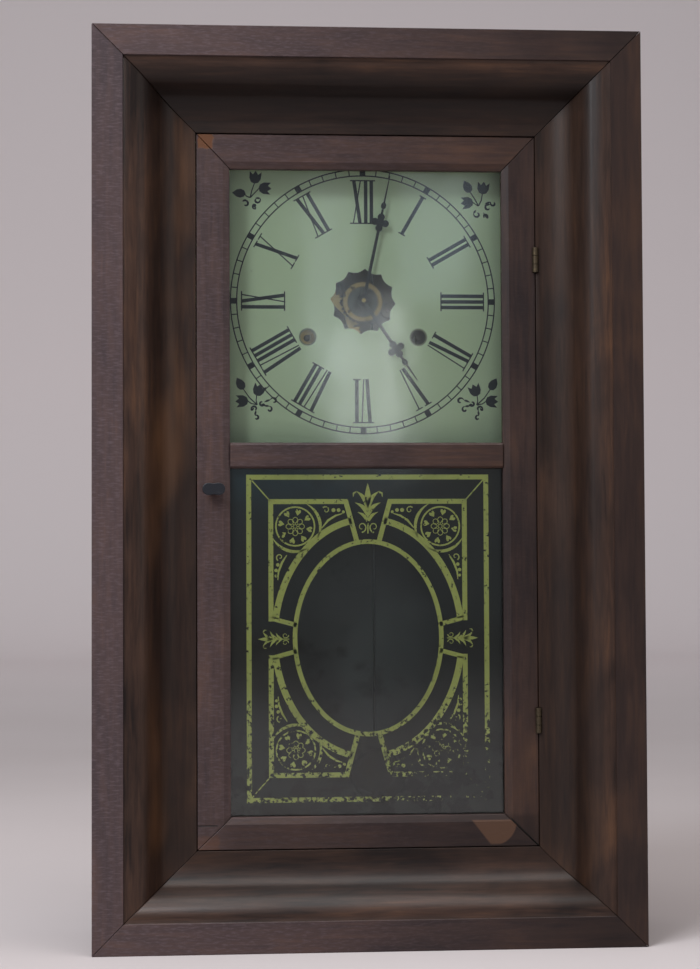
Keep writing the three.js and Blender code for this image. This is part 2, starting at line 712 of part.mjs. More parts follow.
// Butt hinge: the case leaf carries the pin and the two outer knuckles, the
// door leaf the middle one.
function hingeLeaf(height, onCase) {
  const faceX = onCase ? doorwayRight : doorRight;
  const y = behindFront(hingeAxisDepth);
  const third = HINGE_LENGTH / 3;
  const low = height - HINGE_LENGTH / 2;
  const plateOf = leafRecess(height, faceX, onCase ? 1 : -1);
  const knuckle = (z0, z1) => barZ(hingeAxisX, y, HINGE_BARREL_RADIUS, z0, z1, 12);
  const clear = (z0, z1) => barZ(hingeAxisX, y, HINGE_BARREL_RADIUS + RUNNING_GAP,
    z0 - RUNNING_GAP, z1 + RUNNING_GAP, 12);
  if (onCase) {
    return join(
      cut(plateOf, clear(low + third, low + 2 * third)),
      knuckle(low, low + third - RUNNING_GAP),
      knuckle(low + 2 * third + RUNNING_GAP, low + 3 * third),
      barZ(hingeAxisX, y, HINGE_PIN_RADIUS, low, low + 3 * third, 8));
  }
  return cut(
    join(
      cut(plateOf, clear(low - 1, low + third - RUNNING_GAP),
        clear(low + 2 * third + RUNNING_GAP, low + 3 * third + 1)),
      knuckle(low + third, low + 2 * third)),
    barZ(hingeAxisX, y, HINGE_PIN_RADIUS + RUNNING_GAP, low, low + 3 * third, 10));
}

// Two-lobed thumb turn on a round foot, with the shaft that goes through the stile.
function catchKnob() {
  const lobe = KNOB_LENGTH / 4;
  const outline = new THREE.Shape();
  const steps = 20;
  for (let i = 0; i < steps; i += 1) {
    const angle = i * FULL_TURN / steps;
    const waist = 0.62 + 0.38 * Math.abs(Math.cos(angle));
    const x = knobPlace.x + KNOB_LENGTH / 2 * Math.cos(angle);
    const z = knobPlace.y + KNOB_HEIGHT / 2 * Math.sin(angle) * waist * 1.25;
    if (i === 0) outline.moveTo(x, z);
    else outline.lineTo(x, z);
  }
  const front = doorFaceDepth - KNOB_PROUD;
  const wings = plate(outline, front, lobe);
  const foot = turned(knobPlace.x, knobPlace.y, [
    [0, front + lobe / 2],
    [KNOB_FOOT_RADIUS * 0.7, front + lobe / 2],
    [KNOB_FOOT_RADIUS * 0.6, front + 1.6 * lobe],
    [KNOB_FOOT_RADIUS, doorFaceDepth - RUNNING_GAP - 1],
    [KNOB_FOOT_RADIUS, doorFaceDepth - RUNNING_GAP],
    [KNOB_SHAFT_RADIUS, doorFaceDepth - RUNNING_GAP],
    [KNOB_SHAFT_RADIUS, doorBackDepth + RUNNING_GAP + TONGUE_THICKNESS + 1],
    [0, doorBackDepth + RUNNING_GAP + TONGUE_THICKNESS + 1],
  ], 12);
  return join(wings, foot);
}

function catchTongue() {
  const half = TONGUE_WIDTH / 2;
  const outline = new THREE.Shape();
  outline.moveTo(knobPlace.x + half, knobPlace.y);
  outline.absarc(knobPlace.x, knobPlace.y, half, 0, Math.PI, false);
  outline.lineTo(knobPlace.x - half * 0.6, knobPlace.y - TONGUE_LENGTH);
  outline.lineTo(knobPlace.x + half * 0.6, knobPlace.y - TONGUE_LENGTH);
  outline.holes.push(circlePath(knobPlace, KNOB_SHAFT_RADIUS + RUNNING_GAP, 12));
  return plate(outline, doorBackDepth + RUNNING_GAP, TONGUE_THICKNESS);
}

// ---------------------------------------------------------------- dial and hands

function dial() {
  const outline = new THREE.Shape([
    new THREE.Vector2(-DIAL_WIDTH / 2, dialBottom),
    new THREE.Vector2(DIAL_WIDTH / 2, dialBottom),
    new THREE.Vector2(DIAL_WIDTH / 2, dialTop),
    new THREE.Vector2(-DIAL_WIDTH / 2, dialTop),
  ]);
  // Each side of the star is an arc that bulges into the hole.
  const star = [];
  for (let i = 0; i < STAR_POINTS; i += 1) {
    const tip = Math.PI / 2 - radians(STAR_TURN) + i * FULL_TURN / STAR_POINTS;
    star.push(polar(centre, STAR_TIP_RADIUS, tip));
    const half = FULL_TURN / STAR_POINTS / 2;
    const shoulder = (STAR_TIP_RADIUS + 3 * STAR_VALLEY_RADIUS) / 4;
    star.push(polar(centre, shoulder, tip + half / 2));
    star.push(polar(centre, STAR_VALLEY_RADIUS, tip + half));
    star.push(polar(centre, shoulder, tip + 3 * half / 2));
  }
  outline.holes.push(new THREE.Path(star));
  outline.holes.push(circlePath(timeBarrel, WINDING_HOLE_RADIUS, 16));
  outline.holes.push(circlePath(strikeBarrel, WINDING_HOLE_RADIUS, 16));
  return plate(outline, DIAL_DEPTH, DIAL_THICKNESS);
}

// A stamped hand with a flared cross and a small bead, turned clockwise from twelve.
function hand(size, degrees, frontDepth) {
  const { length, cross, arm, bead, beadHalf, root, neck, tip, bore, boss } = size;
  const flare = arm / 2;
  const side = [
    [tip / 2, length],
    [neck * 0.8, bead + 1.3 * beadHalf],
    [beadHalf, bead],
    [neck * 0.8, bead - 1.3 * beadHalf],
    [neck, cross + arm],
    [flare, cross + arm],
    [neck, cross + neck],
    [arm, cross + flare],
    [arm, cross - flare],
    [neck, cross - neck],
    [flare, cross - arm],
    [neck, cross - arm],
    [root, boss],
  ];
  const foot = [];
  const steps = 7;
  for (let i = 1; i < steps; i += 1) {
    const angle = Math.PI * i / steps;
    foot.push([boss * Math.sin(angle) * 1.02, boss * Math.cos(angle)]);
  }
  const right = side.concat(foot);
  const left = right.map(([x, z]) => [-x, z]).reverse();
  const turn = -radians(degrees);
  const points = right.concat([[0, -boss]], left).map(([x, z]) => new THREE.Vector2(x, z)
    .rotateAround(new THREE.Vector2(), turn).add(centre));
  const outline = new THREE.Shape(points);
  outline.holes.push(circlePath(centre, bore, 10));
  return plate(outline, frontDepth, HAND_THICKNESS);
}

const cannonTipRadius = 1.5;
const cannonRadius = 2.6;
const hourPipeBore = cannonRadius + RUNNING_GAP;
const hourPipeRadius = 4;

function minuteHand() {
  return hand({
    length: MINUTE_HAND_LENGTH, cross: 60.2, arm: 5, bead: 72.9, beadHalf: 2, root: 1.5,
    neck: 0.85, tip: 0.5, bore: cannonTipRadius + RUNNING_GAP, boss: 4,
  }, MINUTE_HAND_ANGLE, MINUTE_HAND_DEPTH);
}

function hourHand() {
  return hand({
    length: HOUR_HAND_LENGTH, cross: 43, arm: 5.6, bead: 54.7, beadHalf: 2.2, root: 1.9,
    neck: 1, tip: 0.6, bore: hourPipeRadius + RUNNING_GAP, boss: 6.5,
  }, HOUR_HAND_ANGLE, HOUR_HAND_DEPTH);
}

// ---------------------------------------------------------------- wheels


// A crossed-out clock wheel with pointed teeth; gapAngle is where a gap faces its pinion.
function wheelOutline(place, teeth, module, gapAngle, crossings, hubRadius) {
  const pitch = pitchRadius(teeth, module);
  const root = pitch - DEDENDUM * module;
  const tip = pitch + ADDENDUM * module;
  const step = FULL_TURN / teeth;
  const points = [];
  for (let i = 0; i < teeth; i += 1) {
    const gap = gapAngle + i * step;
    points.push(polar(place, root, gap));
    points.push(polar(place, tip, gap + step / 2));
  }
  const outline = new THREE.Shape(points);
  if (crossings) {
    addCrossings(outline, place, hubRadius, root - Math.max(1.6, pitch * 0.09), crossings);
  }
  return outline;
}

// Windows between the spokes of a wheel.
function addCrossings(outline, place, inner, outer, count) {
  const spoke = 1.1 + outer * 0.04;
  for (let i = 0; i < count; i += 1) {
    const start = i * FULL_TURN / count;
    const end = start + FULL_TURN / count;
    const points = [];
    const steps = 3;
    const outerLean = spoke / outer;
    for (let k = 0; k <= steps; k += 1) {
      const share = k / steps;
      points.push(polar(place, outer,
        start + outerLean + share * (end - start - 2 * outerLean)));
    }
    const innerLean = Math.min(spoke / inner, (end - start) * 0.42);
    points.push(polar(place, inner, end - innerLean));
    points.push(polar(place, inner, start + innerLean));
    outline.holes.push(new THREE.Path(points));
  }
}

// A lantern pinion: wire trundles between two collets.
function lantern(place, leaves, module, trundleAngle, frontDepth, backDepth) {
  const collet = COLLET_THICKNESS;
  const pitch = pitchRadius(leaves, module);
  const trundle = TRUNDLE_RADIUS * module;
  const rim = pitch + trundle + 0.5;
  const parts = [
    barY(place.x, place.y, rim, frontDepth, frontDepth + collet, COLLET_SIDES),
    barY(place.x, place.y, rim, backDepth - collet, backDepth, COLLET_SIDES),
  ];
  for (let i = 0; i < leaves; i += 1) {
    const spot = polar(place, pitch, trundleAngle + i * FULL_TURN / leaves);
    parts.push(barY(spot.x, spot.y, trundle, frontDepth + collet / 2, backDepth - collet / 2, 4));
  }
  return wasm.Manifold.union(parts);
}

// An arbor between the plates, with a pivot at each end.
function arbor(place, frontDepth = FRONT_PLATE_DEPTH, frontIsPivot = true) {
  const shoulderFront = frontPlateBack + RUNNING_GAP;
  const shoulderBack = BACK_PLATE_DEPTH - RUNNING_GAP;
  const end = BACK_PLATE_DEPTH + PLATE_THICKNESS + PIVOT_PROUD;
  const front = frontIsPivot
    ? [[0, frontDepth - PIVOT_PROUD], [PIVOT_RADIUS, frontDepth - PIVOT_PROUD],
      [PIVOT_RADIUS, shoulderFront], [ARBOR_RADIUS, shoulderFront]]
    : [[0, frontDepth], [ARBOR_RADIUS, frontDepth]];
  return turned(place.x, place.y, front.concat([
    [ARBOR_RADIUS, shoulderBack], [PIVOT_RADIUS, shoulderBack], [PIVOT_RADIUS, end], [0, end],
  ]), 8);
}

const plateTurnsOn = { pivot: PIVOT_RADIUS + RUNNING_GAP, arbor: ARBOR_RADIUS + RUNNING_GAP };

const pinionSpan = (wheelDepth, thickness, margin = PINION_MARGIN) => [
  wheelDepth - margin, wheelDepth + thickness + margin];

function greatWheel(place, teeth, module, meshes) {
  const outline = wheelOutline(place, teeth, module, angleFrom(place, meshes), 5, 9);
  outline.holes.push(circlePath(place, WINDING_ARBOR_RADIUS + RUNNING_GAP, 12));
  const wheel = plate(outline, GREAT_WHEEL_DEPTH, GREAT_WHEEL_THICKNESS);
  return join(wheel, clickOn(place, teeth, module));
}

// The spring click: a strip riveted near the rim, whose tip lies on the ratchet.
function clickOn(place, teeth, module) {
  const rim = pitchRadius(teeth, module) * 0.9;
  const rivet = polar(place, rim, radians(CLICK_ANGLE));
  const tip = polar(place, RATCHET_RADIUS + RUNNING_GAP + 0.2, radians(CLICK_ANGLE - CLICK_LEAD));
  const heading = angleFrom(rivet, tip);
  const half = 1.1;
  const outline = new THREE.Shape([
    polar(rivet, half, heading + Math.PI / 2),
    polar(rivet, -half, heading + Math.PI / 2),
    polar(tip, -half * 0.3, heading + Math.PI / 2),
    polar(tip, half * 0.3, heading + Math.PI / 2),
  ]);
  const arm = plate(outline, RATCHET_DEPTH, WHEEL_THICKNESS);
  const post = barY(rivet.x, rivet.y, half * 1.4, RATCHET_DEPTH - 0.5, GREAT_WHEEL_DEPTH + 0.5, 8);
  return join(arm, post);
}

// The drum with its ratchet, its arbor and the square that takes the winding key.
function drum(place, direction) {
  const front = CORD_PLANE_DEPTH - DRUM_LENGTH / 2;
  const back = CORD_PLANE_DEPTH + DRUM_LENGTH / 2;
  const flange = DRUM_FLANGE_THICKNESS;
  const barrel = turned(place.x, place.y, [
    [0, front - flange], [DRUM_FLANGE_RADIUS, front - flange], [DRUM_FLANGE_RADIUS, front],
    [DRUM_RADIUS, front], [DRUM_RADIUS, back], [DRUM_FLANGE_RADIUS, back],
    [DRUM_FLANGE_RADIUS, back + flange], [0, back + flange],
  ], 14);
  const step = FULL_TURN / RATCHET_TEETH;
  const points = [];
  for (let i = 0; i < RATCHET_TEETH; i += 1) {
    points.push(polar(place, RATCHET_RADIUS, i * step));
    points.push(polar(place, RATCHET_RADIUS - RATCHET_TOOTH_HEIGHT, i * step + direction * step * 0.12));
  }
  if (direction < 0) points.reverse();
  const ratchet = plate(new THREE.Shape(points), RATCHET_DEPTH, WHEEL_THICKNESS);
  const collar = barY(place.x, place.y, 5, back + flange / 2, RATCHET_DEPTH + 0.2, 12);
  const end = BACK_PLATE_DEPTH + PLATE_THICKNESS + PIVOT_PROUD;
  const shaft = turned(place.x, place.y, [
    [0, FRONT_PLATE_DEPTH - 4], [WINDING_ARBOR_RADIUS, FRONT_PLATE_DEPTH - 4],
    [WINDING_ARBOR_RADIUS, BACK_PLATE_DEPTH - RUNNING_GAP],
    [PIVOT_RADIUS * 1.6, BACK_PLATE_DEPTH - RUNNING_GAP], [PIVOT_RADIUS * 1.6, end], [0, end],
  ], 10);
  const half = WINDING_ARBOR_RADIUS * 0.75;
  const square = block(place.x - half, place.x + half,
    behindFront(WINDING_SQUARE_DEPTH), behindFront(FRONT_PLATE_DEPTH - 3.5),
    place.y - half, place.y + half);
  return join(barrel, collar, ratchet, shaft, square);
}

// ---------------------------------------------------------------- time train

function centreArbor() {
  const facing = angleFrom(centre, timeBarrel);
  const [pinionFront, pinionBack] = pinionSpan(GREAT_WHEEL_DEPTH, GREAT_WHEEL_THICKNESS);
  const pinion = lantern(centre, CENTRE_LEAVES, greatModule, facing, pinionFront, pinionBack);
  const wheel = plate(wheelOutline(centre, CENTRE_TEETH, CENTRE_MODULE,
    angleFrom(centre, third), 4, 6), CENTRE_WHEEL_DEPTH, WHEEL_THICKNESS);
  const [cannonFront, cannonBack] = cannonSpan;
  const cannon = lantern(centre, CANNON_LEAVES, cannonModule,
    angleFrom(centre, minuteStud), cannonFront, cannonBack);
  const front = turned(centre.x, centre.y, [
    [0, MINUTE_HAND_DEPTH - 1.2],
    [cannonTipRadius, MINUTE_HAND_DEPTH - 1.2],
    [cannonTipRadius, MINUTE_HAND_DEPTH + HAND_THICKNESS + RUNNING_GAP],
    [cannonRadius, MINUTE_HAND_DEPTH + HAND_THICKNESS + RUNNING_GAP],
    [cannonRadius, cannonBack - 0.2],
    [0, cannonBack - 0.2],
  ], 10);
  return join(arbor(centre, MINUTE_WHEEL_DEPTH, false), pinion, wheel, cannon, front);
}

function thirdWheel() {
  const [front, back] = pinionSpan(CENTRE_WHEEL_DEPTH, WHEEL_THICKNESS);
  const pinion = lantern(third, THIRD_LEAVES, CENTRE_MODULE,
    angleFrom(third, centre), front, back);
  const wheel = plate(wheelOutline(third, THIRD_TEETH, THIRD_MODULE,
    angleFrom(third, escape), 4, 4.5), THIRD_WHEEL_DEPTH, WHEEL_THICKNESS);
  return join(arbor(third), pinion, wheel);
}

function escapeWheel() {
  const [front, back] = pinionSpan(THIRD_WHEEL_DEPTH, WHEEL_THICKNESS);
  const pinion = lantern(escape, ESCAPE_LEAVES, THIRD_MODULE,
    angleFrom(escape, third), front, back);
  const step = FULL_TURN / ESCAPE_TEETH;
  const toothHeight = ESCAPE_RADIUS * 0.15;
  const points = [];
  for (let i = 0; i < ESCAPE_TEETH; i += 1) {
    points.push(polar(escape, ESCAPE_RADIUS, i * step));
    points.push(polar(escape, ESCAPE_RADIUS - toothHeight, i * step + step * 0.3));
  }
  const outline = new THREE.Shape(points);
  addCrossings(outline, escape, 4, ESCAPE_RADIUS - toothHeight - 2, 4);
  const wheel = plate(outline, ESCAPE_WHEEL_DEPTH, WHEEL_THICKNESS);
  return join(arbor(escape, ESCAPE_WHEEL_DEPTH, false), pinion, wheel);
}

const cannonSpan = [
  MINUTE_WHEEL_DEPTH - RUNNING_GAP - COLLET_THICKNESS,
  MINUTE_WHEEL_DEPTH + MOTION_WHEEL_THICKNESS + RUNNING_GAP + COLLET_THICKNESS,
];

function minuteWheel() {
  const outline = wheelOutline(minuteStud, MINUTE_WHEEL_TEETH, cannonModule,
    angleFrom(minuteStud, centre), 4, 6.5);
  const wheel = plate(outline, MINUTE_WHEEL_DEPTH, MOTION_WHEEL_THICKNESS);
  const pinion = lantern(minuteStud, MINUTE_LEAVES, hourModule,
    angleFrom(minuteStud, centre), HOUR_WHEEL_DEPTH - 1.1, MINUTE_WHEEL_DEPTH + 0.3);
  const bore = barY(minuteStud.x, minuteStud.y, ARBOR_RADIUS + RUNNING_GAP,
    HOUR_WHEEL_DEPTH - 3, FRONT_PLATE_DEPTH, 10);
  return cut(join(wheel, pinion, barY(minuteStud.x, minuteStud.y, 2.6,
    HOUR_WHEEL_DEPTH - 1, MINUTE_WHEEL_DEPTH + 0.5, 10)), bore);
}

function hourWheel() {
  const outline = wheelOutline(centre, HOUR_WHEEL_TEETH, hourModule,
    angleFrom(centre, minuteStud), 0, 0);
  outline.holes.push(circlePath(centre, hourPipeBore, 12));
  const wheel = plate(outline, HOUR_WHEEL_DEPTH, MOTION_WHEEL_THICKNESS);
  const pipeFront = HOUR_HAND_DEPTH - 0.6;
  const pipe = cut(
    barY(centre.x, centre.y, hourPipeRadius, pipeFront, HOUR_WHEEL_DEPTH + 0.5, 12),
    barY(centre.x, centre.y, hourPipeBore, pipeFront - 1, HOUR_WHEEL_DEPTH + 2, 12));
  return join(wheel, pipe);
}

// Anchor bent over the escape wheel, its pallets clear of the teeth at every swing.
function vergeAndCrutch() {
  const spread = radians(PALLET_ANGLE);
  const inner = ESCAPE_DROP - 2.4;
  const outer = ESCAPE_DROP;
  const up = Math.PI / 2;
  const pallet = radians(3.2);
  const steps = 8;
  const points = [];
  for (let i = 0; i <= steps; i += 1) {
    points.push(polar(escape, outer, up - spread - pallet + 2 * (spread + pallet) * i / steps));
  }
  const tipRadius = ESCAPE_RADIUS + PALLET_STANDOFF;
  points.push(polar(escape, tipRadius, up + spread + pallet / 4));
  points.push(polar(escape, tipRadius + 0.4, up + spread - pallet / 2));
  for (let i = 0; i <= steps; i += 1) {
    points.push(polar(escape, inner, up + spread - pallet - 2 * (spread - pallet) * i / steps));
  }
  points.push(polar(escape, tipRadius + 0.4, up - spread + pallet / 2));
  points.push(polar(escape, tipRadius, up - spread - pallet / 4));
  const strip = plate(new THREE.Shape(points), ESCAPE_WHEEL_DEPTH - 0.3, 1.8);
  const saddle = barY(suspension.x, suspension.y, 3, ESCAPE_WHEEL_DEPTH - 0.6,
    ESCAPE_WHEEL_DEPTH + 1.6, 12);
  const bore = barY(suspension.x, suspension.y, vergeStudRadius + RUNNING_GAP,
    ESCAPE_WHEEL_DEPTH - 3, ESCAPE_WHEEL_DEPTH + 3, 10);
  const foot = suspension.y - CRUTCH_LENGTH;
  const y = behindFront(CRUTCH_DEPTH);
  const wire = barZ(suspension.x, y, CRUTCH_WIRE_RADIUS, foot, suspension.y - 2, 6);
  const stub = barY(suspension.x, suspension.y - 2.4, 0.5, CRUTCH_DEPTH - CRUTCH_WIRE_RADIUS,
    ESCAPE_WHEEL_DEPTH, 6);
  // The loop that embraces the pendulum rod.
  const loopHalf = ROD_RADIUS + RUNNING_GAP;
  const loopFront = ROD_DEPTH - ROD_RADIUS - RUNNING_GAP - 0.7;
  const loop = cut(
    block(suspension.x - loopHalf - 0.7, suspension.x + loopHalf + 0.7,
      behindFront(loopFront), y + CRUTCH_WIRE_RADIUS, foot - 0.7, foot + 0.7),
    block(suspension.x - loopHalf, suspension.x + loopHalf,
      behindFront(loopFront + 0.7), y - CRUTCH_WIRE_RADIUS, foot - 2, foot + 2));
  return join(cut(join(strip, saddle), bore), stub, wire, loop);
}
const vergeStudRadius = 1.1;

function pendulumRod() {
  const x = suspension.x;
  const y = behindFront(ROD_DEPTH);
  const stripHalf = SPRING_THICKNESS / 2;
  const strip = block(x - stripHalf, x + stripHalf, y - SPRING_WIDTH / 2, y + SPRING_WIDTH / 2,
    suspension.y - 14, suspension.y + 5);
  const ferrule = block(x - 1, x + 1, y - 1, y + 1, suspension.y - 20, suspension.y - 12);
  const end = bobHeight - BOB_RADIUS - NUT_HEIGHT - 2 * RATING_TRAVEL;
  const rod = barZ(x, y, ROD_RADIUS, end, suspension.y - 19, 8);
  return join(strip, ferrule, rod);
}

function pendulumBob() {
  const half = BOB_THICKNESS / 2;
  const lens = turned(suspension.x, bobHeight, [
    [0, ROD_DEPTH - half], [BOB_RADIUS * 0.5, ROD_DEPTH - half * 0.9],
    [BOB_RADIUS * 0.85, ROD_DEPTH - half * 0.55], [BOB_RADIUS, ROD_DEPTH - 0.4],
    [BOB_RADIUS, ROD_DEPTH + 0.4], [BOB_RADIUS * 0.85, ROD_DEPTH + half * 0.55],
    [BOB_RADIUS * 0.5, ROD_DEPTH + half * 0.9], [0, ROD_DEPTH + half],
  ], 20);
  const bore = barZ(suspension.x, behindFront(ROD_DEPTH), ROD_RADIUS + RUNNING_GAP,
    bobHeight - 2 * BOB_RADIUS, bobHeight + 2 * BOB_RADIUS, 8);
  const sleeve = barZ(suspension.x, behindFront(ROD_DEPTH), 2,
    bobHeight - BOB_RADIUS - 1.2, bobHeight + BOB_RADIUS + 1.2, 8);
  const nut = barZ(suspension.x, behindFront(ROD_DEPTH), 3.2,
    bobHeight - BOB_RADIUS - 1 - NUT_HEIGHT, bobHeight - BOB_RADIUS - 1, 6);
  return cut(join(lens, sleeve, nut), bore);
}

// ---------------------------------------------------------------- strike train

function pinWheelSolid() {
  const [front, back] = pinionSpan(GREAT_WHEEL_DEPTH, GREAT_WHEEL_THICKNESS);
  const pinion = lantern(pinWheel, PIN_WHEEL_LEAVES, STRIKE_MODULE,
    angleFrom(pinWheel, strikeBarrel), front, back);
  const wheel = plate(wheelOutline(pinWheel, PIN_WHEEL_TEETH, PIN_WHEEL_MODULE,
    angleFrom(pinWheel, locking), 0, 0), PIN_WHEEL_DEPTH, WHEEL_THICKNESS);
  const counter = lantern(pinWheel, COUNT_LEAVES, countModule,
    angleFrom(pinWheel, strikeBarrel), ...pinionSpan(COUNT_WHEEL_DEPTH, WHEEL_THICKNESS, 0.9));
  const pins = [];
  for (let i = 0; i < LIFTING_PINS; i += 1) {
    const spot = polar(pinWheel, LIFTING_PIN_CIRCLE, (i + 0.5) * FULL_TURN / LIFTING_PINS);
    pins.push(barY(spot.x, spot.y, 0.7, PIN_WHEEL_DEPTH + 0.5, GREAT_WHEEL_DEPTH - 2, 6));
  }
  return join(arbor(pinWheel, COUNT_WHEEL_DEPTH - 1.2, false), pinion, wheel, counter, ...pins);
}

function lockingWheel() {
  const [front, back] = pinionSpan(PIN_WHEEL_DEPTH, WHEEL_THICKNESS);
  const pinion = lantern(locking, LOCKING_LEAVES, PIN_WHEEL_MODULE,
    angleFrom(locking, pinWheel), front, back);
  const wheel = plate(wheelOutline(locking, LOCKING_TEETH, LOCKING_MODULE,
    angleFrom(locking, fly), 4, 4.5), THIRD_WHEEL_DEPTH, WHEEL_THICKNESS);
  const cam = new THREE.Shape();
  const steps = 14;
  for (let i = 0; i < steps; i += 1) {
    const angle = i * FULL_TURN / steps;
    const spot = polar(locking, i === 3 ? LOCKING_CAM_RADIUS * 0.6 : LOCKING_CAM_RADIUS, angle);
    if (i === 0) cam.moveTo(spot.x, spot.y);
    else cam.lineTo(spot.x, spot.y);
  }
  return join(arbor(locking), pinion, wheel, plate(cam, LOCKING_CAM_DEPTH, 1));
}

function flySolid() {
  const [front, back] = pinionSpan(THIRD_WHEEL_DEPTH, WHEEL_THICKNESS);
  const pinion = lantern(fly, FLY_LEAVES, LOCKING_MODULE, angleFrom(fly, locking), front, back);
  const bladeFront = behindFront(PIN_WHEEL_DEPTH - 3);
  const blade = block(fly.x - FLY_RADIUS, fly.x + FLY_RADIUS, bladeFront,
    bladeFront + FLY_LENGTH, fly.y - 0.3, fly.y + 0.3);
  const sleeve = barY(fly.x, fly.y, 2, PIN_WHEEL_DEPTH - 3, PIN_WHEEL_DEPTH - 3 + FLY_LENGTH, 8);
  return join(arbor(fly), pinion, blade, sleeve);
}

// Fine teeth with a deep slot after each hour's count of blows.
function countWheel() {
  const step = FULL_TURN / COUNT_WHEEL_TEETH;
  const facing = angleFrom(strikeBarrel, pinWheel);
  const pitch = pitchRadius(COUNT_WHEEL_TEETH, countModule);
  const root = pitch - DEDENDUM * countModule;
  const tip = pitch + ADDENDUM * countModule;
  const slots = new Set();
  let blows = 0;
  for (let hour = 1; hour <= HOURS_COUNTED; hour += 1) {
    blows += hour;
    slots.add(blows - 1);
  }
  const points = [];
  for (let i = 0; i < COUNT_WHEEL_TEETH; i += 1) {
    const gap = facing + (i + 0.5 * COUNT_WHEEL_TEETH) * step;
    if (slots.has(i)) {
      const half = 0.28 * step;
      points.push(polar(strikeBarrel, root, gap - half));
      points.push(polar(strikeBarrel, root - COUNT_SLOT_DEPTH, gap - half));
      points.push(polar(strikeBarrel, root - COUNT_SLOT_DEPTH, gap + half));
      points.push(polar(strikeBarrel, root, gap + half));
    } else {
      points.push(polar(strikeBarrel, root, gap));
    }
    points.push(polar(strikeBarrel, tip, gap + step / 2));
  }
  const outline = new THREE.Shape(points);
  addCrossings(outline, strikeBarrel, 7, root - COUNT_SLOT_DEPTH - 3, 4);
  outline.holes.push(circlePath(strikeBarrel, WINDING_ARBOR_RADIUS + RUNNING_GAP, 12));
  return plate(outline, COUNT_WHEEL_DEPTH, WHEEL_THICKNESS);
}

// Hammer: an arbor, a short tail by the lifting pins and a long wire to the gong.
function hammer() {
  const gong = new THREE.Vector2(GONG_OFFSET, GONG_HEIGHT);
  const gongFace = GONG_RADIUS + GONG_WIRE_RADIUS;
  const head = new THREE.Vector2(
    gong.x - gongFace - 2 * RUNNING_GAP - HAMMER_HEAD_RADIUS, gong.y + 8);
  const y = behindFront(HAMMER_WIRE_DEPTH);
  const wire = tubeAlong([
    new THREE.Vector3(hammerArbor.x, y, hammerArbor.y),
    new THREE.Vector3(hammerArbor.x + 2, y, plateBottom - 20),
    new THREE.Vector3(hammerArbor.x + 6, y, hammerArbor.y - 221),
    new THREE.Vector3(hammerArbor.x + 9, y, hammerArbor.y - 331),
    new THREE.Vector3(head.x - 3, y, head.y + 22),
    new THREE.Vector3(head.x, y, head.y),
  ], HAMMER_WIRE_RADIUS, 6);
  const headBar = barY(head.x, head.y, HAMMER_HEAD_RADIUS,
    HAMMER_WIRE_DEPTH - HAMMER_HEAD_LENGTH / 2, HAMMER_WIRE_DEPTH + HAMMER_HEAD_LENGTH / 2, 12);
  const tailReach = hammerArbor.distanceTo(pinWheel) - LIFTING_PIN_CIRCLE - 0.7 - 2 * RUNNING_GAP;
  const toPins = angleFrom(hammerArbor, pinWheel);
  const tail = new THREE.Shape([
    polar(hammerArbor, 1.4, toPins + Math.PI / 2),
    polar(hammerArbor, -1.4, toPins + Math.PI / 2),
    polar(polar(hammerArbor, tailReach, toPins), -0.6, toPins + Math.PI / 2),
    polar(polar(hammerArbor, tailReach, toPins), 0.6, toPins + Math.PI / 2),
  ]);
  return join(arbor(hammerArbor), wire, headBar, plate(tail, PIN_WHEEL_DEPTH + 2, 1));
}


// Lock lever: the count blade in front of the plate, the locking finger behind it.
function lockLever() {
  const rim = pitchRadius(COUNT_WHEEL_TEETH, countModule) + ADDENDUM * countModule;
  const bearing = radians(LOCK_BLADE_BEARING);
  const bladeFoot = polar(strikeBarrel, rim + 2 * RUNNING_GAP, bearing);
  const bladeElbow = polar(strikeBarrel, rim + 9, bearing);
  const arm = (from, to, fromHalf, toHalf, depth, thickness) => {
    const heading = angleFrom(from, to) + Math.PI / 2;
    return plate(new THREE.Shape([
      polar(from, fromHalf, heading), polar(from, -fromHalf, heading),
      polar(to, -toHalf, heading), polar(to, toHalf, heading),
    ]), depth, thickness);
  };
  const upper = arm(lockArbor, bladeElbow, 1.8, 1.4, COUNT_WHEEL_DEPTH, 1);
  const blade = arm(polar(bladeElbow, 1.2, bearing), bladeFoot, 1.5, 0.8, COUNT_WHEEL_DEPTH, 1);
  const fingerEnd = polar(locking, LOCKING_CAM_RADIUS + 2 * RUNNING_GAP,
    angleFrom(locking, lockArbor));
  const finger = arm(lockArbor, fingerEnd, 1.6, 0.8, LOCKING_CAM_DEPTH, 1);
  return join(arbor(lockArbor, COUNT_WHEEL_DEPTH, false), upper, blade, finger);
}

// ---------------------------------------------------------------- plates

const pillars = [[-52, 68], [52, 68], [-20, -66], [72, -62]];
const plateWindows = [[48, 30, 14], [-22, 10, 10], [0, -42, 19], [62, -8, 10], [-60, -50, 9],
  [-12, 44, 9]];

function plateOutline() {
  const chamfer = 8;
  const [x, z0, z1] = [PLATE_HALF_WIDTH, plateBottom, plateTop];
  const outline = new THREE.Shape([
    new THREE.Vector2(-x, z0), new THREE.Vector2(x, z0),
    new THREE.Vector2(x, z1 - chamfer), new THREE.Vector2(x - chamfer, z1),
    new THREE.Vector2(-x + chamfer, z1), new THREE.Vector2(-x, z1 - chamfer),
  ]);
  for (const [wx, wz, radius] of plateWindows) {
    outline.holes.push(circlePath(new THREE.Vector2(wx, centre.y + wz), radius, 10));
  }
  return outline;
}

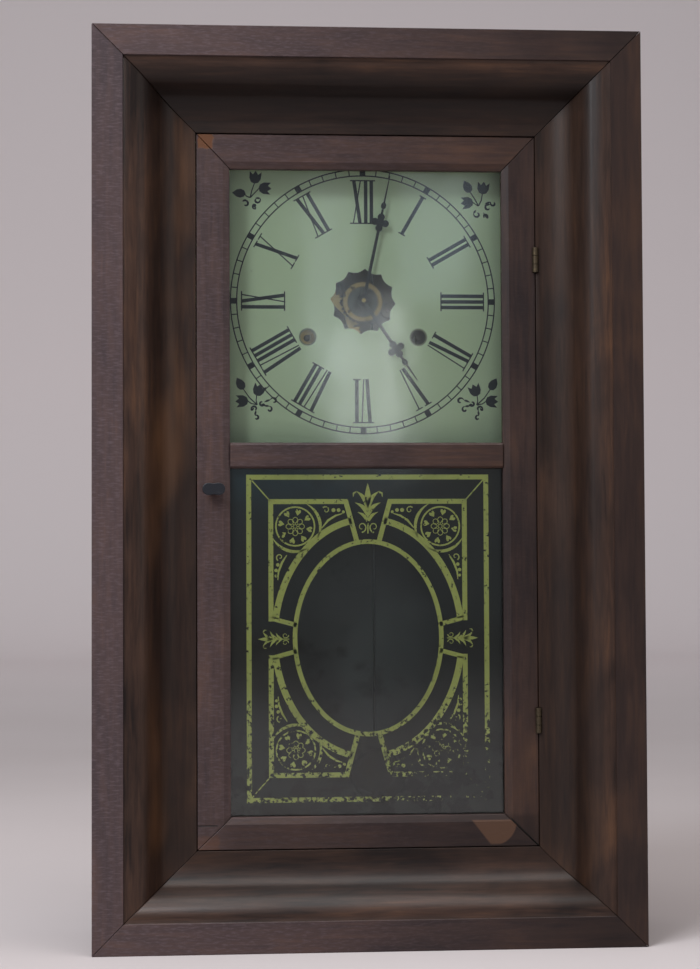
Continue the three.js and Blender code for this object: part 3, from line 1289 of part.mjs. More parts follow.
// Pivot holes of the arbors, [place, radius in the front plate, radius in the back plate].
const pivotHoles = [
  [centre, plateTurnsOn.arbor, plateTurnsOn.pivot],
  [third, plateTurnsOn.pivot, plateTurnsOn.pivot],
  [escape, plateTurnsOn.arbor, plateTurnsOn.pivot],
  [pinWheel, plateTurnsOn.arbor, plateTurnsOn.pivot],
  [locking, plateTurnsOn.pivot, plateTurnsOn.pivot],
  [fly, plateTurnsOn.pivot, plateTurnsOn.pivot],
  [hammerArbor, plateTurnsOn.pivot, plateTurnsOn.pivot],
  [lockArbor, plateTurnsOn.arbor, plateTurnsOn.pivot],
  [timeBarrel, WINDING_ARBOR_RADIUS + RUNNING_GAP, PIVOT_RADIUS * 1.6 + RUNNING_GAP],
  [strikeBarrel, WINDING_ARBOR_RADIUS + RUNNING_GAP, PIVOT_RADIUS * 1.6 + RUNNING_GAP],
];

function frontPlate() {
  const outline = plateOutline();
  for (const [place, radius] of pivotHoles) outline.holes.push(circlePath(place, radius, 8));
  const sheet = plate(outline, FRONT_PLATE_DEPTH, PLATE_THICKNESS);
  const stud = barY(minuteStud.x, minuteStud.y, ARBOR_RADIUS,
    HOUR_WHEEL_DEPTH - 0.6, FRONT_PLATE_DEPTH + 0.5, 8);
  const shoulder = barY(minuteStud.x, minuteStud.y, 2,
    MINUTE_WHEEL_DEPTH + MOTION_WHEEL_THICKNESS + RUNNING_GAP, FRONT_PLATE_DEPTH + 0.5, 8);
  const vergeStud = barY(suspension.x, suspension.y, vergeStudRadius,
    ESCAPE_WHEEL_DEPTH - 0.6, FRONT_PLATE_DEPTH + 0.5, 8);
  return join(sheet, stud, shoulder, vergeStud, suspensionPost());
}

// The post reaches forward over the verge and clips the pendulum's spring in a slit.
function suspensionPost() {
  const x = suspension.x;
  const z = suspension.y;
  const y = behindFront(ROD_DEPTH);
  const front = y - SPRING_WIDTH / 2 - 1;
  const back = y + SPRING_WIDTH / 2 + 0.4;
  const arm = block(x - 3, x + 3, front, behindFront(FRONT_PLATE_DEPTH) + 0.5, z + 5.6, z + 10);
  const lip = block(x - 3, x + 3, front, back, z + 1.5, z + 6);
  const slit = block(x - 0.65, x + 0.65, y - SPRING_WIDTH / 2 - RUNNING_GAP, back + 1,
    z, z + 5.6);
  return join(cut(lip, slit), arm);
}

function backPlate() {
  const outline = plateOutline();
  for (const [place, , radius] of pivotHoles) outline.holes.push(circlePath(place, radius, 8));
  const sheet = plate(outline, BACK_PLATE_DEPTH, PLATE_THICKNESS);
  const posts = pillars.map(([x, z]) => barY(x, centre.y + z, PILLAR_RADIUS,
    frontPlateBack, BACK_PLATE_DEPTH + 0.5, 10));
  return join(sheet, ...posts);
}

// ---------------------------------------------------------------- weights and cords

function weight(side) {
  const x = side * weightX;
  const y = behindFront(CORD_PLANE_DEPTH);
  const points = [
    [0, weightBottom], [WEIGHT_RADIUS - 1.5, weightBottom], [WEIGHT_RADIUS, weightBottom + 1.5],
    [WEIGHT_RADIUS, weightTop - 10], [WEIGHT_RADIUS * 0.9, weightTop - 5],
    [WEIGHT_RADIUS * 0.55, weightTop - 1], [0, weightTop],
  ].map(([radius, z]) => new THREE.Vector2(radius, z));
  const casting = new THREE.LatheGeometry(points, 16);
  casting.rotateX(Math.PI / 2);
  casting.translate(x, y, 0);
  const eye = new THREE.TorusGeometry(WEIGHT_EYE_RADIUS, WEIGHT_EYE_WIRE, 5, 10);
  eye.rotateX(Math.PI / 2);
  eye.translate(x, y, weightTop + WEIGHT_EYE_RADIUS);
  return join(solid(casting), solid(eye));
}

function pulley(side) {
  const x = side * pulleyX;
  const half = PULLEY_WIDTH / 2;
  const plane = CORD_PLANE_DEPTH;
  return join(
    turned(x, pulleyHeight, [
      [0, plane - half], [PULLEY_RADIUS, plane - half], [PULLEY_RADIUS, plane - half + 0.8],
      [PULLEY_GROOVE_RADIUS, plane - 1], [PULLEY_GROOVE_RADIUS, plane + 1],
      [PULLEY_RADIUS, plane + half - 0.8], [PULLEY_RADIUS, plane + half], [0, plane + half],
    ], 18),
    barY(x, pulleyHeight, PULLEY_AXLE_RADIUS,
      plane - PULLEY_AXLE_LENGTH / 2, plane + PULLEY_AXLE_LENGTH / 2, 8));
}

const cordClearance = 0.4;
const drumCordRadius = DRUM_RADIUS + CORD_RADIUS + cordClearance;

// The cord from its turn on the drum, up past the channel board and over the pulley.
// Worked out for the right-hand side and mirrored for the left.
function runningCord(side) {
  const y = behindFront(CORD_PLANE_DEPTH);
  const pulleyCentre = new THREE.Vector2(pulleyX, pulleyHeight);
  const span = timeBarrel.distanceTo(pulleyCentre);
  const line = angleFrom(timeBarrel, pulleyCentre);
  const leaving = line - Math.acos((drumCordRadius + pulleyReach) / span);
  const wrapTurns = 1.25;
  const wrapSteps = 26;
  const pitch = 2 * CORD_RADIUS + 0.5;
  const points = [];
  for (let i = wrapSteps; i >= 0; i -= 1) {
    const turn = wrapTurns * i / wrapSteps;
    const spot = polar(timeBarrel, drumCordRadius, leaving - turn * FULL_TURN);
    points.push(new THREE.Vector3(side * spot.x, y + turn * pitch, spot.y));
  }
  const arcSteps = 12;
  for (let i = 0; i <= arcSteps; i += 1) {
    const angle = (leaving + Math.PI) * (1 - i / arcSteps);
    const spot = polar(pulleyCentre, pulleyReach, angle);
    points.push(new THREE.Vector3(side * spot.x, y, spot.y));
  }
  return tubeAlong(points, CORD_RADIUS, 6);
}

function hangingCord(side) {
  const x = side * weightX;
  const y = behindFront(CORD_PLANE_DEPTH);
  return barZ(x, y, CORD_RADIUS, weightTop + 2 * WEIGHT_EYE_RADIUS + WEIGHT_EYE_WIRE + RUNNING_GAP,
    pulleyHeight - RUNNING_GAP, 8);
}

// ---------------------------------------------------------------- gong

function gongBase() {
  const x = GONG_OFFSET;
  const z = GONG_HEIGHT;
  const coilFront = HAMMER_WIRE_DEPTH - GONG_WIRE_RADIUS;
  const flange = backboardDepth - 4;
  const foot = new THREE.Shape([
    new THREE.Vector2(x - 20, z - 11), new THREE.Vector2(x + 20, z - 11),
    new THREE.Vector2(x + 24, z - 6), new THREE.Vector2(x + 24, z + 6),
    new THREE.Vector2(x + 20, z + 11), new THREE.Vector2(x - 20, z + 11),
    new THREE.Vector2(x - 24, z + 6), new THREE.Vector2(x - 24, z - 6),
  ]);
  return join(
    plate(foot, flange, 4),
    turned(x, z, [[0, coilFront - 1], [GONG_BOSS_RADIUS - 1.5, coilFront - 1],
      [GONG_BOSS_RADIUS, coilFront], [GONG_BOSS_RADIUS, flange - 2],
      [GONG_BOSS_RADIUS + 3, flange + 1], [0, flange + 1]], GONG_BOSS_SIDES));
}

function gongCoil() {
  const y = behindFront(HAMMER_WIRE_DEPTH);
  const perTurn = 24;
  const steps = Math.round(GONG_TURNS * perTurn);
  const middle = new THREE.Vector2(GONG_OFFSET, GONG_HEIGHT);
  const points = [];
  const addPoint = spot => points.push(new THREE.Vector3(spot.x, y, spot.y));
  addPoint(new THREE.Vector2(middle.x - GONG_RADIUS, middle.y + 2 * GONG_WIRE_RADIUS));
  for (let i = 0; i <= steps; i += 1) {
    const turn = i / perTurn;
    addPoint(polar(middle, GONG_RADIUS - turn * GONG_PITCH, Math.PI + turn * FULL_TURN));
  }
  // The inner end bends in and meets a flat of the boss squarely.
  const flatAngle = 1.5 * FULL_TURN / GONG_BOSS_SIDES;
  const flatRadius = GONG_BOSS_RADIUS * Math.cos(Math.PI / GONG_BOSS_SIDES) + RUNNING_GAP;
  const bendRadius = flatRadius + 2 * GONG_WIRE_RADIUS;
  addPoint(polar(middle, bendRadius + 1.6, flatAngle * 0.65));
  addPoint(polar(middle, bendRadius, flatAngle));
  addPoint(polar(middle, flatRadius, flatAngle));
  let least = Infinity;
  for (let i = 0; i < points.length; i += 1) {
    for (let k = i + perTurn / 2; k < points.length; k += 1) {
      least = Math.min(least, points[i].distanceTo(points[k]) - 2 * GONG_WIRE_RADIUS);
    }
  }
  console.log('gong coil: least gap between turns', least.toFixed(2), 'mm');
  return tubeAlong(points, GONG_WIRE_RADIUS, 6);
}

// ---------------------------------------------------------------- finish and assembly

const finish = (color, roughness, metalness) => new THREE.MeshStandardMaterial({
  color, roughness, metalness, flatShading: true,
});
const mahogany = finish(0x3a1d13, 0.35, 0);
const pine = finish(0xa9814f, 0.8, 0);
const brass = finish(0xb08a3c, 0.35, 1);
const steel = finish(0x55575a, 0.4, 1);
const blackIron = finish(0x17181a, 0.5, 0.6);
const castIron = finish(0x2b2a29, 0.8, 0.5);
const tin = finish(0x6d6a63, 0.5, 0.8);
const dialPaint = finish(0xc4c9b4, 0.6, 0);
const cordFibre = finish(0x8a7a5a, 0.9, 0);
const clearGlass = new THREE.MeshStandardMaterial({
  color: 0xdfe8e4, roughness: 0.05, transparent: true, opacity: 0.3,
});

const clock = new THREE.Group();

function add(name, body, material) {
  const mesh = new THREE.Mesh(geometryOf(body), material);
  mesh.name = name;
  clock.add(mesh);
}

add('case_side_left', caseSide(-1), mahogany);
add('case_side_right', caseSide(1), mahogany);
add('case_top_board', topBoard(), pine);
add('case_bottom_board', bottomBoard(), pine);
add('backboard', backboard(), pine);
const rails = ogeeRails();
add('ogee_rail_left', rails.left, mahogany);
add('ogee_rail_right', rails.right, mahogany);
add('ogee_rail_bottom', rails.bottom, mahogany);
add('ogee_rail_top', rails.top, mahogany);
add('channel_board_left', channelBoard(-1), pine);
add('channel_board_right', channelBoard(1), pine);
add('seat_board', seatBoard(), pine);
add('pulley_cover_left', pulleyCover(-1), tin);
add('pulley_cover_right', pulleyCover(1), tin);
for (const [place, height] of Object.entries(hingeHeights)) {
  add(`${place}_hinge_case_leaf`, hingeLeaf(height, true), brass);
  add(`${place}_hinge_door_leaf`, hingeLeaf(height, false), brass);
}

const frame = doorFrame();
add('door_stile_left', frame.left, mahogany);
add('door_stile_right', frame.right, mahogany);
add('door_rail_bottom', frame.bottom, mahogany);
add('door_rail_top', frame.top, mahogany);
add('door_rail_middle', middleRail(), mahogany);
add('dial_glass', pane(middleRailTop, dialWindowTop), clearGlass);
add('tablet_glass', pane(tabletBottom, middleRailBottom), clearGlass);
add('catch_knob', catchKnob(), blackIron);
add('catch_tongue', catchTongue(), steel);

add('dial', dial(), dialPaint);
add('minute_hand', minuteHand(), blackIron);
add('hour_hand', hourHand(), blackIron);

add('front_plate', frontPlate(), brass);
add('back_plate', backPlate(), brass);
add('time_drum', drum(timeBarrel, 1), brass);
add('time_great_wheel', greatWheel(timeBarrel, GREAT_TEETH, greatModule, centre), brass);
add('centre_arbor', centreArbor(), brass);
add('third_wheel', thirdWheel(), brass);
add('escape_wheel', escapeWheel(), brass);
add('verge_and_crutch', vergeAndCrutch(), steel);
add('pendulum_rod', pendulumRod(), steel);
add('pendulum_bob', pendulumBob(), brass);
add('minute_wheel', minuteWheel(), brass);
add('hour_wheel', hourWheel(), brass);

add('strike_drum', drum(strikeBarrel, -1), brass);
add('strike_great_wheel',
  greatWheel(strikeBarrel, STRIKE_GREAT_TEETH, STRIKE_MODULE, pinWheel), brass);
add('strike_pin_wheel', pinWheelSolid(), brass);
add('strike_locking_wheel', lockingWheel(), brass);
add('strike_fly', flySolid(), brass);
add('count_wheel', countWheel(), brass);
add('hammer', hammer(), steel);
add('lock_lever', lockLever(), steel);

for (const [train, side] of [['time', 1], ['strike', -1]]) {
  add(`${train}_pulley`, pulley(side), pine);
  add(`${train}_weight`, weight(side), castIron);
  add(`${train}_cord`, runningCord(side), cordFibre);
  add(`${train}_cord_fall`, hangingCord(side), cordFibre);
}

add('gong_base', gongBase(), castIron);
add('gong_coil', gongCoil(), steel);

export default clock;
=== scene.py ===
import json
import math

import bmesh
import bpy
from mathutils import Matrix, Vector


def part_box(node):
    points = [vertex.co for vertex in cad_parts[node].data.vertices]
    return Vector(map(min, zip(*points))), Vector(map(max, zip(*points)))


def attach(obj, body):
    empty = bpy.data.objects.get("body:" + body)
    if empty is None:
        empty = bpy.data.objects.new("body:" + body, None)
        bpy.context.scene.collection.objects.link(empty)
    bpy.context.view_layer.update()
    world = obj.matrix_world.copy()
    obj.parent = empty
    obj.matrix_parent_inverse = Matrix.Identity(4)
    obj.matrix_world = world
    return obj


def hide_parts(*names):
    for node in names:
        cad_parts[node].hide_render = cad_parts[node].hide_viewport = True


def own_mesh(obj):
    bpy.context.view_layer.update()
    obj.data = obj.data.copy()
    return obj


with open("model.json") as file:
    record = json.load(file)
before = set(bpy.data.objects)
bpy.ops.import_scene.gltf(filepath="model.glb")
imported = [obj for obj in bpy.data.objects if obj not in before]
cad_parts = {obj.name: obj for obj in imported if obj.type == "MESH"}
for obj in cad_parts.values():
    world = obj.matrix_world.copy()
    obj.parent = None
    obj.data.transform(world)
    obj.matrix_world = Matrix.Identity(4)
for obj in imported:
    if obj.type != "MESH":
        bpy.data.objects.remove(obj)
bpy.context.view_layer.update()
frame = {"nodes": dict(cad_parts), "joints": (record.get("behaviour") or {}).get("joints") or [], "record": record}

bl_info = {
    "name": "Ogee shelf clock",
    "version": (1, 0, 0),
    "blender": (4, 5, 0),
    "location": "View3D > Sidebar > Ogee Clock",
    "description": "Dresses the packed ogee shelf clock in its woods, metals, paint and glass",
    "category": "Object",
}

MM = 0.001


def middle(node, axis):
    """The middle of a node's box along one axis."""
    low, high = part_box(node)
    return (low[axis] + high[axis]) / 2


# Where the packed part puts the faces and centres that the pieces are laid on.
DIAL_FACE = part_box("dial")[0].y
DIAL_CENTRE = (0.0, middle("centre_arbor", 2))
WINDING_PLACE = (middle("time_drum", 0), middle("time_drum", 2))
PANE_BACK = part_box("tablet_glass")[1].y
PANE_LOW, PANE_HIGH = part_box("tablet_glass")
DOOR_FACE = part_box("door_stile_left")[0].y
CASE_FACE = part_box("ogee_rail_left")[0].y
BACKBOARD_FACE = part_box("backboard")[0].y
BOB_PLACE = (middle("pendulum_bob", 0), middle("pendulum_bob", 2))
CORD_PLANE = middle("time_pulley", 1)


def length(name, description, default, low=0.0):
    """A length setting, in metres."""
    return bpy.props.FloatProperty(
        name=name, description=description, default=default, min=low, precision=5, unit="LENGTH")


def colour(name, description, default):
    """A colour setting."""
    return bpy.props.FloatVectorProperty(
        name=name, description=description, default=default, size=3, min=0.0, max=1.0,
        subtype="COLOR")


def amount(name, description, default, low=0.0, high=1.0):
    """A plain number."""
    return bpy.props.FloatProperty(
        name=name, description=description, default=default, min=low, max=high)


class StageSettings(bpy.types.PropertyGroup):
    """The camera, the room and its lights."""

    camera_place: bpy.props.FloatVectorProperty(
        name="Camera place", description="Where the camera stands, in the clock's frame",
        default=(-0.1375, -1.6044, 0.2735), size=3, subtype="TRANSLATION")
    camera_turn: bpy.props.FloatVectorProperty(
        name="Camera turn", description="Pitch, roll and yaw of the camera",
        default=(math.radians(2.07), math.radians(0.25), math.radians(-4.53)), size=3,
        subtype="EULER")
    focal_length: amount("Focal length", "Lens in millimetres on a 36 mm sensor", 81.41, 10, 300)
    floor_colour: colour("Floor colour", "Pale floor and backdrop", (0.36, 0.315, 0.31))
    key_power: amount("Window power", "Watts of the large soft light, upper left", 114.0, 0, 500)
    fill_power: amount("Fill power", "Watts of the soft light on the right", 7.0, 0, 500)
    ceiling_power: amount("Ceiling power", "Watts of the soft light overhead", 78.0, 0, 500)
    room_light: amount("Room light", "Strength of the light from all round", 0.24, 0, 5)


class CaseSettings(bpy.types.PropertyGroup):
    """The woods of the case and the door."""

    edge_ease: length("Edge ease", "Width of the worn edge on a board", 0.0005)
    veneer_dark: colour("Veneer dark", "Darkest streak of the mahogany", (0.0075, 0.0036, 0.0027))
    veneer_mid: colour("Veneer middle", "Main colour of the mahogany", (0.036, 0.0175, 0.0112))
    veneer_warm: colour("Veneer warm", "Brightest streak of the mahogany", (0.088, 0.040, 0.0195))
    # Partly real bloom, mostly a painted sheen on the left of the flat bands.
    band_bloom_and_sheen: colour("Band bloom", "Greyed polish on the flat bands", (0.088, 0.062, 0.068))
    # Painted shade: darkens the hollows and the mouldings of the top and right rails.
    painted_hollow_shade: colour("Hollow", "Darkened polish in the hollows", (0.0042, 0.0018, 0.0011))
    ember_colour: colour("Warm figure", "Orange figure in the hollows", (0.105, 0.046, 0.018))
    chip_colour: colour("Bare wood", "Wood where veneer has gone", (0.10, 0.038, 0.014))
    patch_colour: colour("Veneer patch", "Newer veneer let into the door", (0.088, 0.046, 0.028))
    pine_dark: colour("Pine dark", "Late wood of the aged pine", (0.10, 0.052, 0.022))
    pine_light: colour("Pine light", "Early wood of the aged pine", (0.25, 0.15, 0.075))


class DialSettings(bpy.types.PropertyGroup):
    """The painted dial."""

    ring_outer: length("Minute ring outer", "Radius of the outer line", 0.0978)
    ring_inner: length("Minute ring inner", "Radius of the inner line", 0.0932)
    line_width: length("Line width", "Width of the thin lines", 0.0009)
    numeral_outer: length("Numeral outer", "Radius at the tops of the numerals", 0.0901)
    numeral_inner: length("Numeral inner", "Radius at the feet of the numerals", 0.0575)
    thick_stroke: length("Thick stroke", "Width of a numeral's thick stroke", 0.0026)
    thin_stroke: length("Thin stroke", "Width of a numeral's thin stroke", 0.0009)
    minute_heading: bpy.props.FloatProperty(
        name="Minute hand heading", description="Clockwise from twelve",
        default=math.radians(12.1), subtype="ANGLE")
    hour_heading: bpy.props.FloatProperty(
        name="Hour hand heading", description="Clockwise from twelve",
        default=math.radians(145.9), subtype="ANGLE")
    minute_reach: length("Minute hand", "Length from the arbor to the tip", 0.0943)
    hour_reach: length("Hour hand", "Length from the arbor to the tip", 0.0706)
    stroke_gap: length("Stroke gap", "Space between a numeral's strokes", 0.0016)
    block_width: length("Block width", "Width of a five-minute block", 0.0042)
    ink_height: length("Ink height", "Thickness of the printed ink", 0.00008)
    paint: colour("Dial paint", "Aged white paint, greenish", (0.81, 0.93, 0.63))
    ink: colour("Ink", "Blue-black ink", (0.016, 0.022, 0.036))


class TabletSettings(bpy.types.PropertyGroup):
    """The painted glass of the lower door."""

    centre: bpy.props.FloatVectorProperty(
        name="Centre", description="Middle of the painting, across and up",
        default=(0.0009, 0.2199), size=2, unit="LENGTH")
    border: bpy.props.FloatVectorProperty(
        name="Border", description="Half width and half height of the outer gold line",
        default=(0.0864, 0.1164), size=2, unit="LENGTH")
    panel: bpy.props.FloatVectorProperty(
        name="Panel", description="Half width and half height of the inner gold line",
        default=(0.0705, 0.0987), size=2, unit="LENGTH")
    outer_oval: bpy.props.FloatVectorProperty(
        name="Outer oval", description="Half width and half height of the outer oval",
        default=(0.0680, 0.0860), size=2, unit="LENGTH")
    inner_oval: bpy.props.FloatVectorProperty(
        name="Inner oval", description="Half width and half height of the clear oval",
        default=(0.0526, 0.0690), size=2, unit="LENGTH")
    roundel_place: bpy.props.FloatVectorProperty(
        name="Roundels", description="Middle of a roundel from the middle of the painting",
        default=(0.0528, 0.0807), size=2, unit="LENGTH")
    roundel_radius: length("Roundel radius", "Radius of a roundel's rim", 0.0140)
    gold_width: length("Gold line", "Width of the main gold lines", 0.0036)
    hair_width: length("Fine line", "Width of the thin gold lines", 0.0009)
    gold: colour("Gold", "Olive-gold bronze paint", (0.70, 0.70, 0.13))
    ground: colour("Ground", "Thin black paint over the glass", (0.017, 0.021, 0.018))


class MetalSettings(bpy.types.PropertyGroup):
    """Brass, steel and iron."""

    brass: colour("Brass", "Bare brass, gone dull", (0.46, 0.32, 0.13))
    dark_brass: colour("Tarnished brass", "Plates, drums and hinges", (0.062, 0.043, 0.022))
    steel: colour("Steel", "Bare steel", (0.32, 0.33, 0.34))
    black_steel: colour("Blackened steel", "Hands and catch", (0.011, 0.012, 0.016))
    iron: colour("Cast iron", "Weights and gong base", (0.045, 0.042, 0.040))
    tin: colour("Tinplate", "Pulley covers and back of the dial", (0.22, 0.21, 0.20))
    cord: colour("Cord", "Twisted cotton cord", (0.36, 0.28, 0.17))


SETTING_GROUPS = {
    "clock_stage": StageSettings,
    "clock_case": CaseSettings,
    "clock_dial": DialSettings,
    "clock_tablet": TabletSettings,
    "clock_metal": MetalSettings,
}


# ---------------------------------------------------------------- shader maths

class Signal:
    """One output in a material's nodes. Plain arithmetic on it adds Math nodes."""

    def __init__(self, finish, socket):
        self.finish = finish
        self.socket = socket

    def __add__(self, other):
        return self.finish.math("ADD", self, other)

    def __radd__(self, other):
        return self.finish.math("ADD", other, self)

    def __sub__(self, other):
        return self.finish.math("SUBTRACT", self, other)

    def __rsub__(self, other):
        return self.finish.math("SUBTRACT", other, self)

    def __mul__(self, other):
        return self.finish.math("MULTIPLY", self, other)

    def __rmul__(self, other):
        return self.finish.math("MULTIPLY", other, self)

    def __pow__(self, other):
        return self.finish.math("POWER", self, other)

    def __abs__(self):
        return self.finish.math("ABSOLUTE", self)


class Finish:
    """A material in the making: its nodes and the shader that they feed."""

    def __init__(self, name):
        self.material = bpy.data.materials.new(name)
        self.material.use_nodes = True
        self.tree = self.material.node_tree
        self.tree.nodes.clear()
        self.place = self.node("ShaderNodeTexCoord", output="Object")
        apart = self.tree.nodes.new("ShaderNodeSeparateXYZ")
        self.tree.links.new(self.place.socket, apart.inputs[0])
        self.x, self.y, self.z = (Signal(self, s) for s in apart.outputs)

    def node(self, kind, settings=None, sockets=None, output=0):
        """Adds a node: its settings first, then its sockets' values or links. Gives one output."""
        made = self.tree.nodes.new(kind)
        for key, value in (settings or {}).items():
            if key == "stops":
                self.set_stops(made.color_ramp, value)
            else:
                setattr(made, key, value)
        for key, value in (sockets or {}).items():
            if isinstance(value, Signal):
                self.tree.links.new(value.socket, made.inputs[key])
            else:
                made.inputs[key].default_value = value
        return Signal(self, made.outputs[output])

    @staticmethod
    def set_stops(ramp, stops):
        while len(ramp.elements) < len(stops):
            ramp.elements.new(1.0)
        for element, (position, shade) in zip(ramp.elements, stops):
            element.position = position
            element.color = (*shade, 1.0)

    def math(self, operation, *values):
        return self.node("ShaderNodeMath", {"operation": operation}, dict(enumerate(values)))

    def mix(self, share, first, second):
        """A colour between two others."""
        first, second = (c if isinstance(c, Signal) else (*c, 1.0) for c in (first, second))
        return self.node("ShaderNodeMix", {"data_type": "RGBA"},
                         {0: share, 6: first, 7: second}, output=2)

    def stretched(self, scale, shift=(0.0, 0.0, 0.0)):
        """Object coordinates drawn out along an axis."""
        moved = self.node("ShaderNodeVectorMath", {"operation": "ADD"}, {0: self.place, 1: shift})
        return self.node("ShaderNodeVectorMath", {"operation": "MULTIPLY"}, {0: moved, 1: scale})

    def noise(self, where, scale, detail=3.0, roughness=0.5, distortion=0.0):
        return self.node("ShaderNodeTexNoise", {}, {
            "Vector": where, "Scale": scale, "Detail": detail, "Roughness": roughness,
            "Distortion": distortion})

    def step(self, value, low, high):
        """0 below low, 1 above high, smooth between them."""
        return self.node("ShaderNodeMapRange", {"interpolation_type": "SMOOTHSTEP"},
                         {"Value": value, "From Min": low, "From Max": high})

    def within(self, value, low, high, soft):
        """1 between low and high, fading over a soft border."""
        return (self.step(value, low - soft, low + soft)
                * (1.0 - self.step(value, high - soft, high + soft)))

    def radius(self, x, z):
        """Distance from an axis that runs front to back."""
        across, up = self.x - x, self.z - z
        return (across * across + up * up) ** 0.5

    def bump(self, height, depth):
        """A normal from a height, whose full swing is a depth in metres."""
        return self.node("ShaderNodeBump", {}, {
            "Height": height, "Distance": depth, "Strength": 1.0})

    def surface(self, base, roughness, normal=None, alpha=None, **constants):
        """Ends the material in a Principled shader, with constants set on its own sockets."""
        sockets = {"Base Color": base, "Roughness": roughness}
        if normal is not None:
            sockets["Normal"] = normal
        if alpha is not None:
            sockets["Alpha"] = alpha
        sockets.update({key.replace("_", " "): value for key, value in constants.items()})
        if not isinstance(base, Signal):
            sockets["Base Color"] = (*base, 1.0)
        shader = self.node("ShaderNodeBsdfPrincipled", {}, sockets)
        return self.end(shader)

    def end(self, shader):
        last = self.tree.nodes.new("ShaderNodeOutputMaterial")
        self.tree.links.new(shader.socket, last.inputs["Surface"])
        return self.material


_finishes = {}


def finish_once(maker, *choice):
    """Makes each material once for each choice of its settings."""
    key = (maker.__name__, *choice)
    if key not in _finishes:
        _finishes[key] = maker(*choice)
    return _finishes[key]


# ---------------------------------------------------------------- woods

GRAIN_SCALE = {"X": (0.07, 1.0, 1.0), "Y": (1.0, 0.07, 1.0), "Z": (1.0, 1.0, 0.07)}
FIGURE_SCALE = {"X": (0.4, 1.0, 1.0), "Z": (1.0, 1.0, 0.4)}


def veneer_colour(finish, grain, seed):
    """Streaks, figure and fine pores of the mahogany. Gives its colour and its pores."""
    looks = bpy.context.scene.clock_case
    along = finish.stretched(GRAIN_SCALE[grain], (seed, 0.3 * seed, 0.7 * seed))
    broad = finish.stretched(FIGURE_SCALE[grain], (seed, seed, seed))
    streaks = finish.noise(along, 330.0, 6.0, 0.62, 0.4)
    figure = finish.noise(broad, 15.0, 4.0, 0.55, 0.9)
    pores = finish.noise(along, 1500.0, 2.0, 0.6)
    tone = figure * 0.62 + streaks * 0.38
    base = finish.node("ShaderNodeValToRGB", {"stops": [
        (0.36, looks.veneer_dark), (0.52, looks.veneer_mid), (0.70, looks.veneer_warm)]},
        {"Fac": tone})
    return base, streaks, pores


def polish(finish, base, streaks, pores, extra=None):
    """Old shellac over the veneer: a satin coat, rubbed unevenly."""
    haze = finish.noise(finish.place, 22.0, 4.0, 0.6)
    roughness = 0.34 + haze * 0.22 + pores * 0.08
    height = streaks * 0.35 + pores * 0.65
    if extra is not None:
        height = height - extra
    normal = finish.bump(height, 0.00012)
    return finish.surface(base, roughness, normal, Coat_Weight=0.14, Coat_Roughness=0.26,
                          Coat_IOR=1.5, Specular_IOR_Level=0.16)


def bloom_sheen_and_shade(finish, base, on_band):
    """Flat faces: a thin bloom everywhere, a painted sheen with flecks across the grain towards the left, painted
    shade at the right and on the door's bottom rail.
    """
    looks = bpy.context.scene.clock_case
    flecks = finish.noise(finish.stretched((1.0, 1.0, 5.0)), 160.0, 3.0, 0.6)
    # Painted light: the flat bands take a grey painted sheen on the left and painted shade on the right.
    rubbed_wear_and_sheen = 1.0 - finish.step(finish.x, -0.185, 0.190)
    share = 0.04 + rubbed_wear_and_sheen * (0.34 + finish.step(flecks, 0.45, 0.70) * 0.38)
    base = finish.mix(on_band * (1.0 - rubbed_wear_and_sheen) * 0.62, base, looks.veneer_dark)
    base = finish.mix(on_band * share, base, looks.band_bloom_and_sheen)
    # Painted shade on the door's bottom rail.
    low_rail_shade = (finish.within(finish.z, 0.055, 0.092, 0.002)
                * finish.within(finish.x, -0.108, 0.130, 0.016))
    return finish.mix(on_band * low_rail_shade * 0.60, base, looks.veneer_dark)


def mahogany(grain, seed):
    """Veneer on the case: a painted sheen greys the flat bands, painted shade darkens the hollows and the top and
    right mouldings, and warm figure shows in the hollows.
    """
    looks = bpy.context.scene.clock_case
    finish = Finish(f"mahogany_{grain.lower()}_{int(10 * seed)}")
    base, streaks, pores = veneer_colour(finish, grain, seed)
    # Painted shade in the hollows, weaker on the bottom rail, which faces up, and where the warm figure shows.
    hollow = finish.step(finish.y, CASE_FACE + 0.0022, CASE_FACE + 0.0150)
    warm = finish.step(finish.noise(finish.stretched(FIGURE_SCALE[grain], (seed, 0, 0)), 13.0,
                                    3.0, 0.5), 0.50, 0.66)
    shaded = 0.20 + finish.step(finish.z, 0.050, 0.075) * 0.40
    base = finish.mix(hollow * (1.0 - warm * 0.5) * shaded, base, looks.painted_hollow_shade)
    # Painted shade on the mouldings of the top rail, which faces down, and of the right rail.
    moulded = finish.step(finish.y, CASE_FACE + 0.0010, CASE_FACE + 0.0040)
    high = finish.step(finish.z, 0.588, 0.606)
    right = finish.step(finish.x, 0.115, 0.160)
    base = finish.mix(moulded * finish.math("MAXIMUM", high * 0.62, right * 0.45), base,
                      looks.painted_hollow_shade)
    on_rail = 1.0 - finish.step(finish.y, CASE_FACE + 0.036, CASE_FACE + 0.046)
    left = (1.0 - finish.step(finish.x, -0.150, -0.115)) * on_rail
    base = finish.mix(hollow * warm * (0.06 + left * 0.50), base, looks.ember_colour)
    base = bloom_sheen_and_shade(finish, base, 1.0 - finish.step(finish.y, CASE_FACE + 0.0008,
                                                   CASE_FACE + 0.0016))
    return polish(finish, base, streaks, pores)


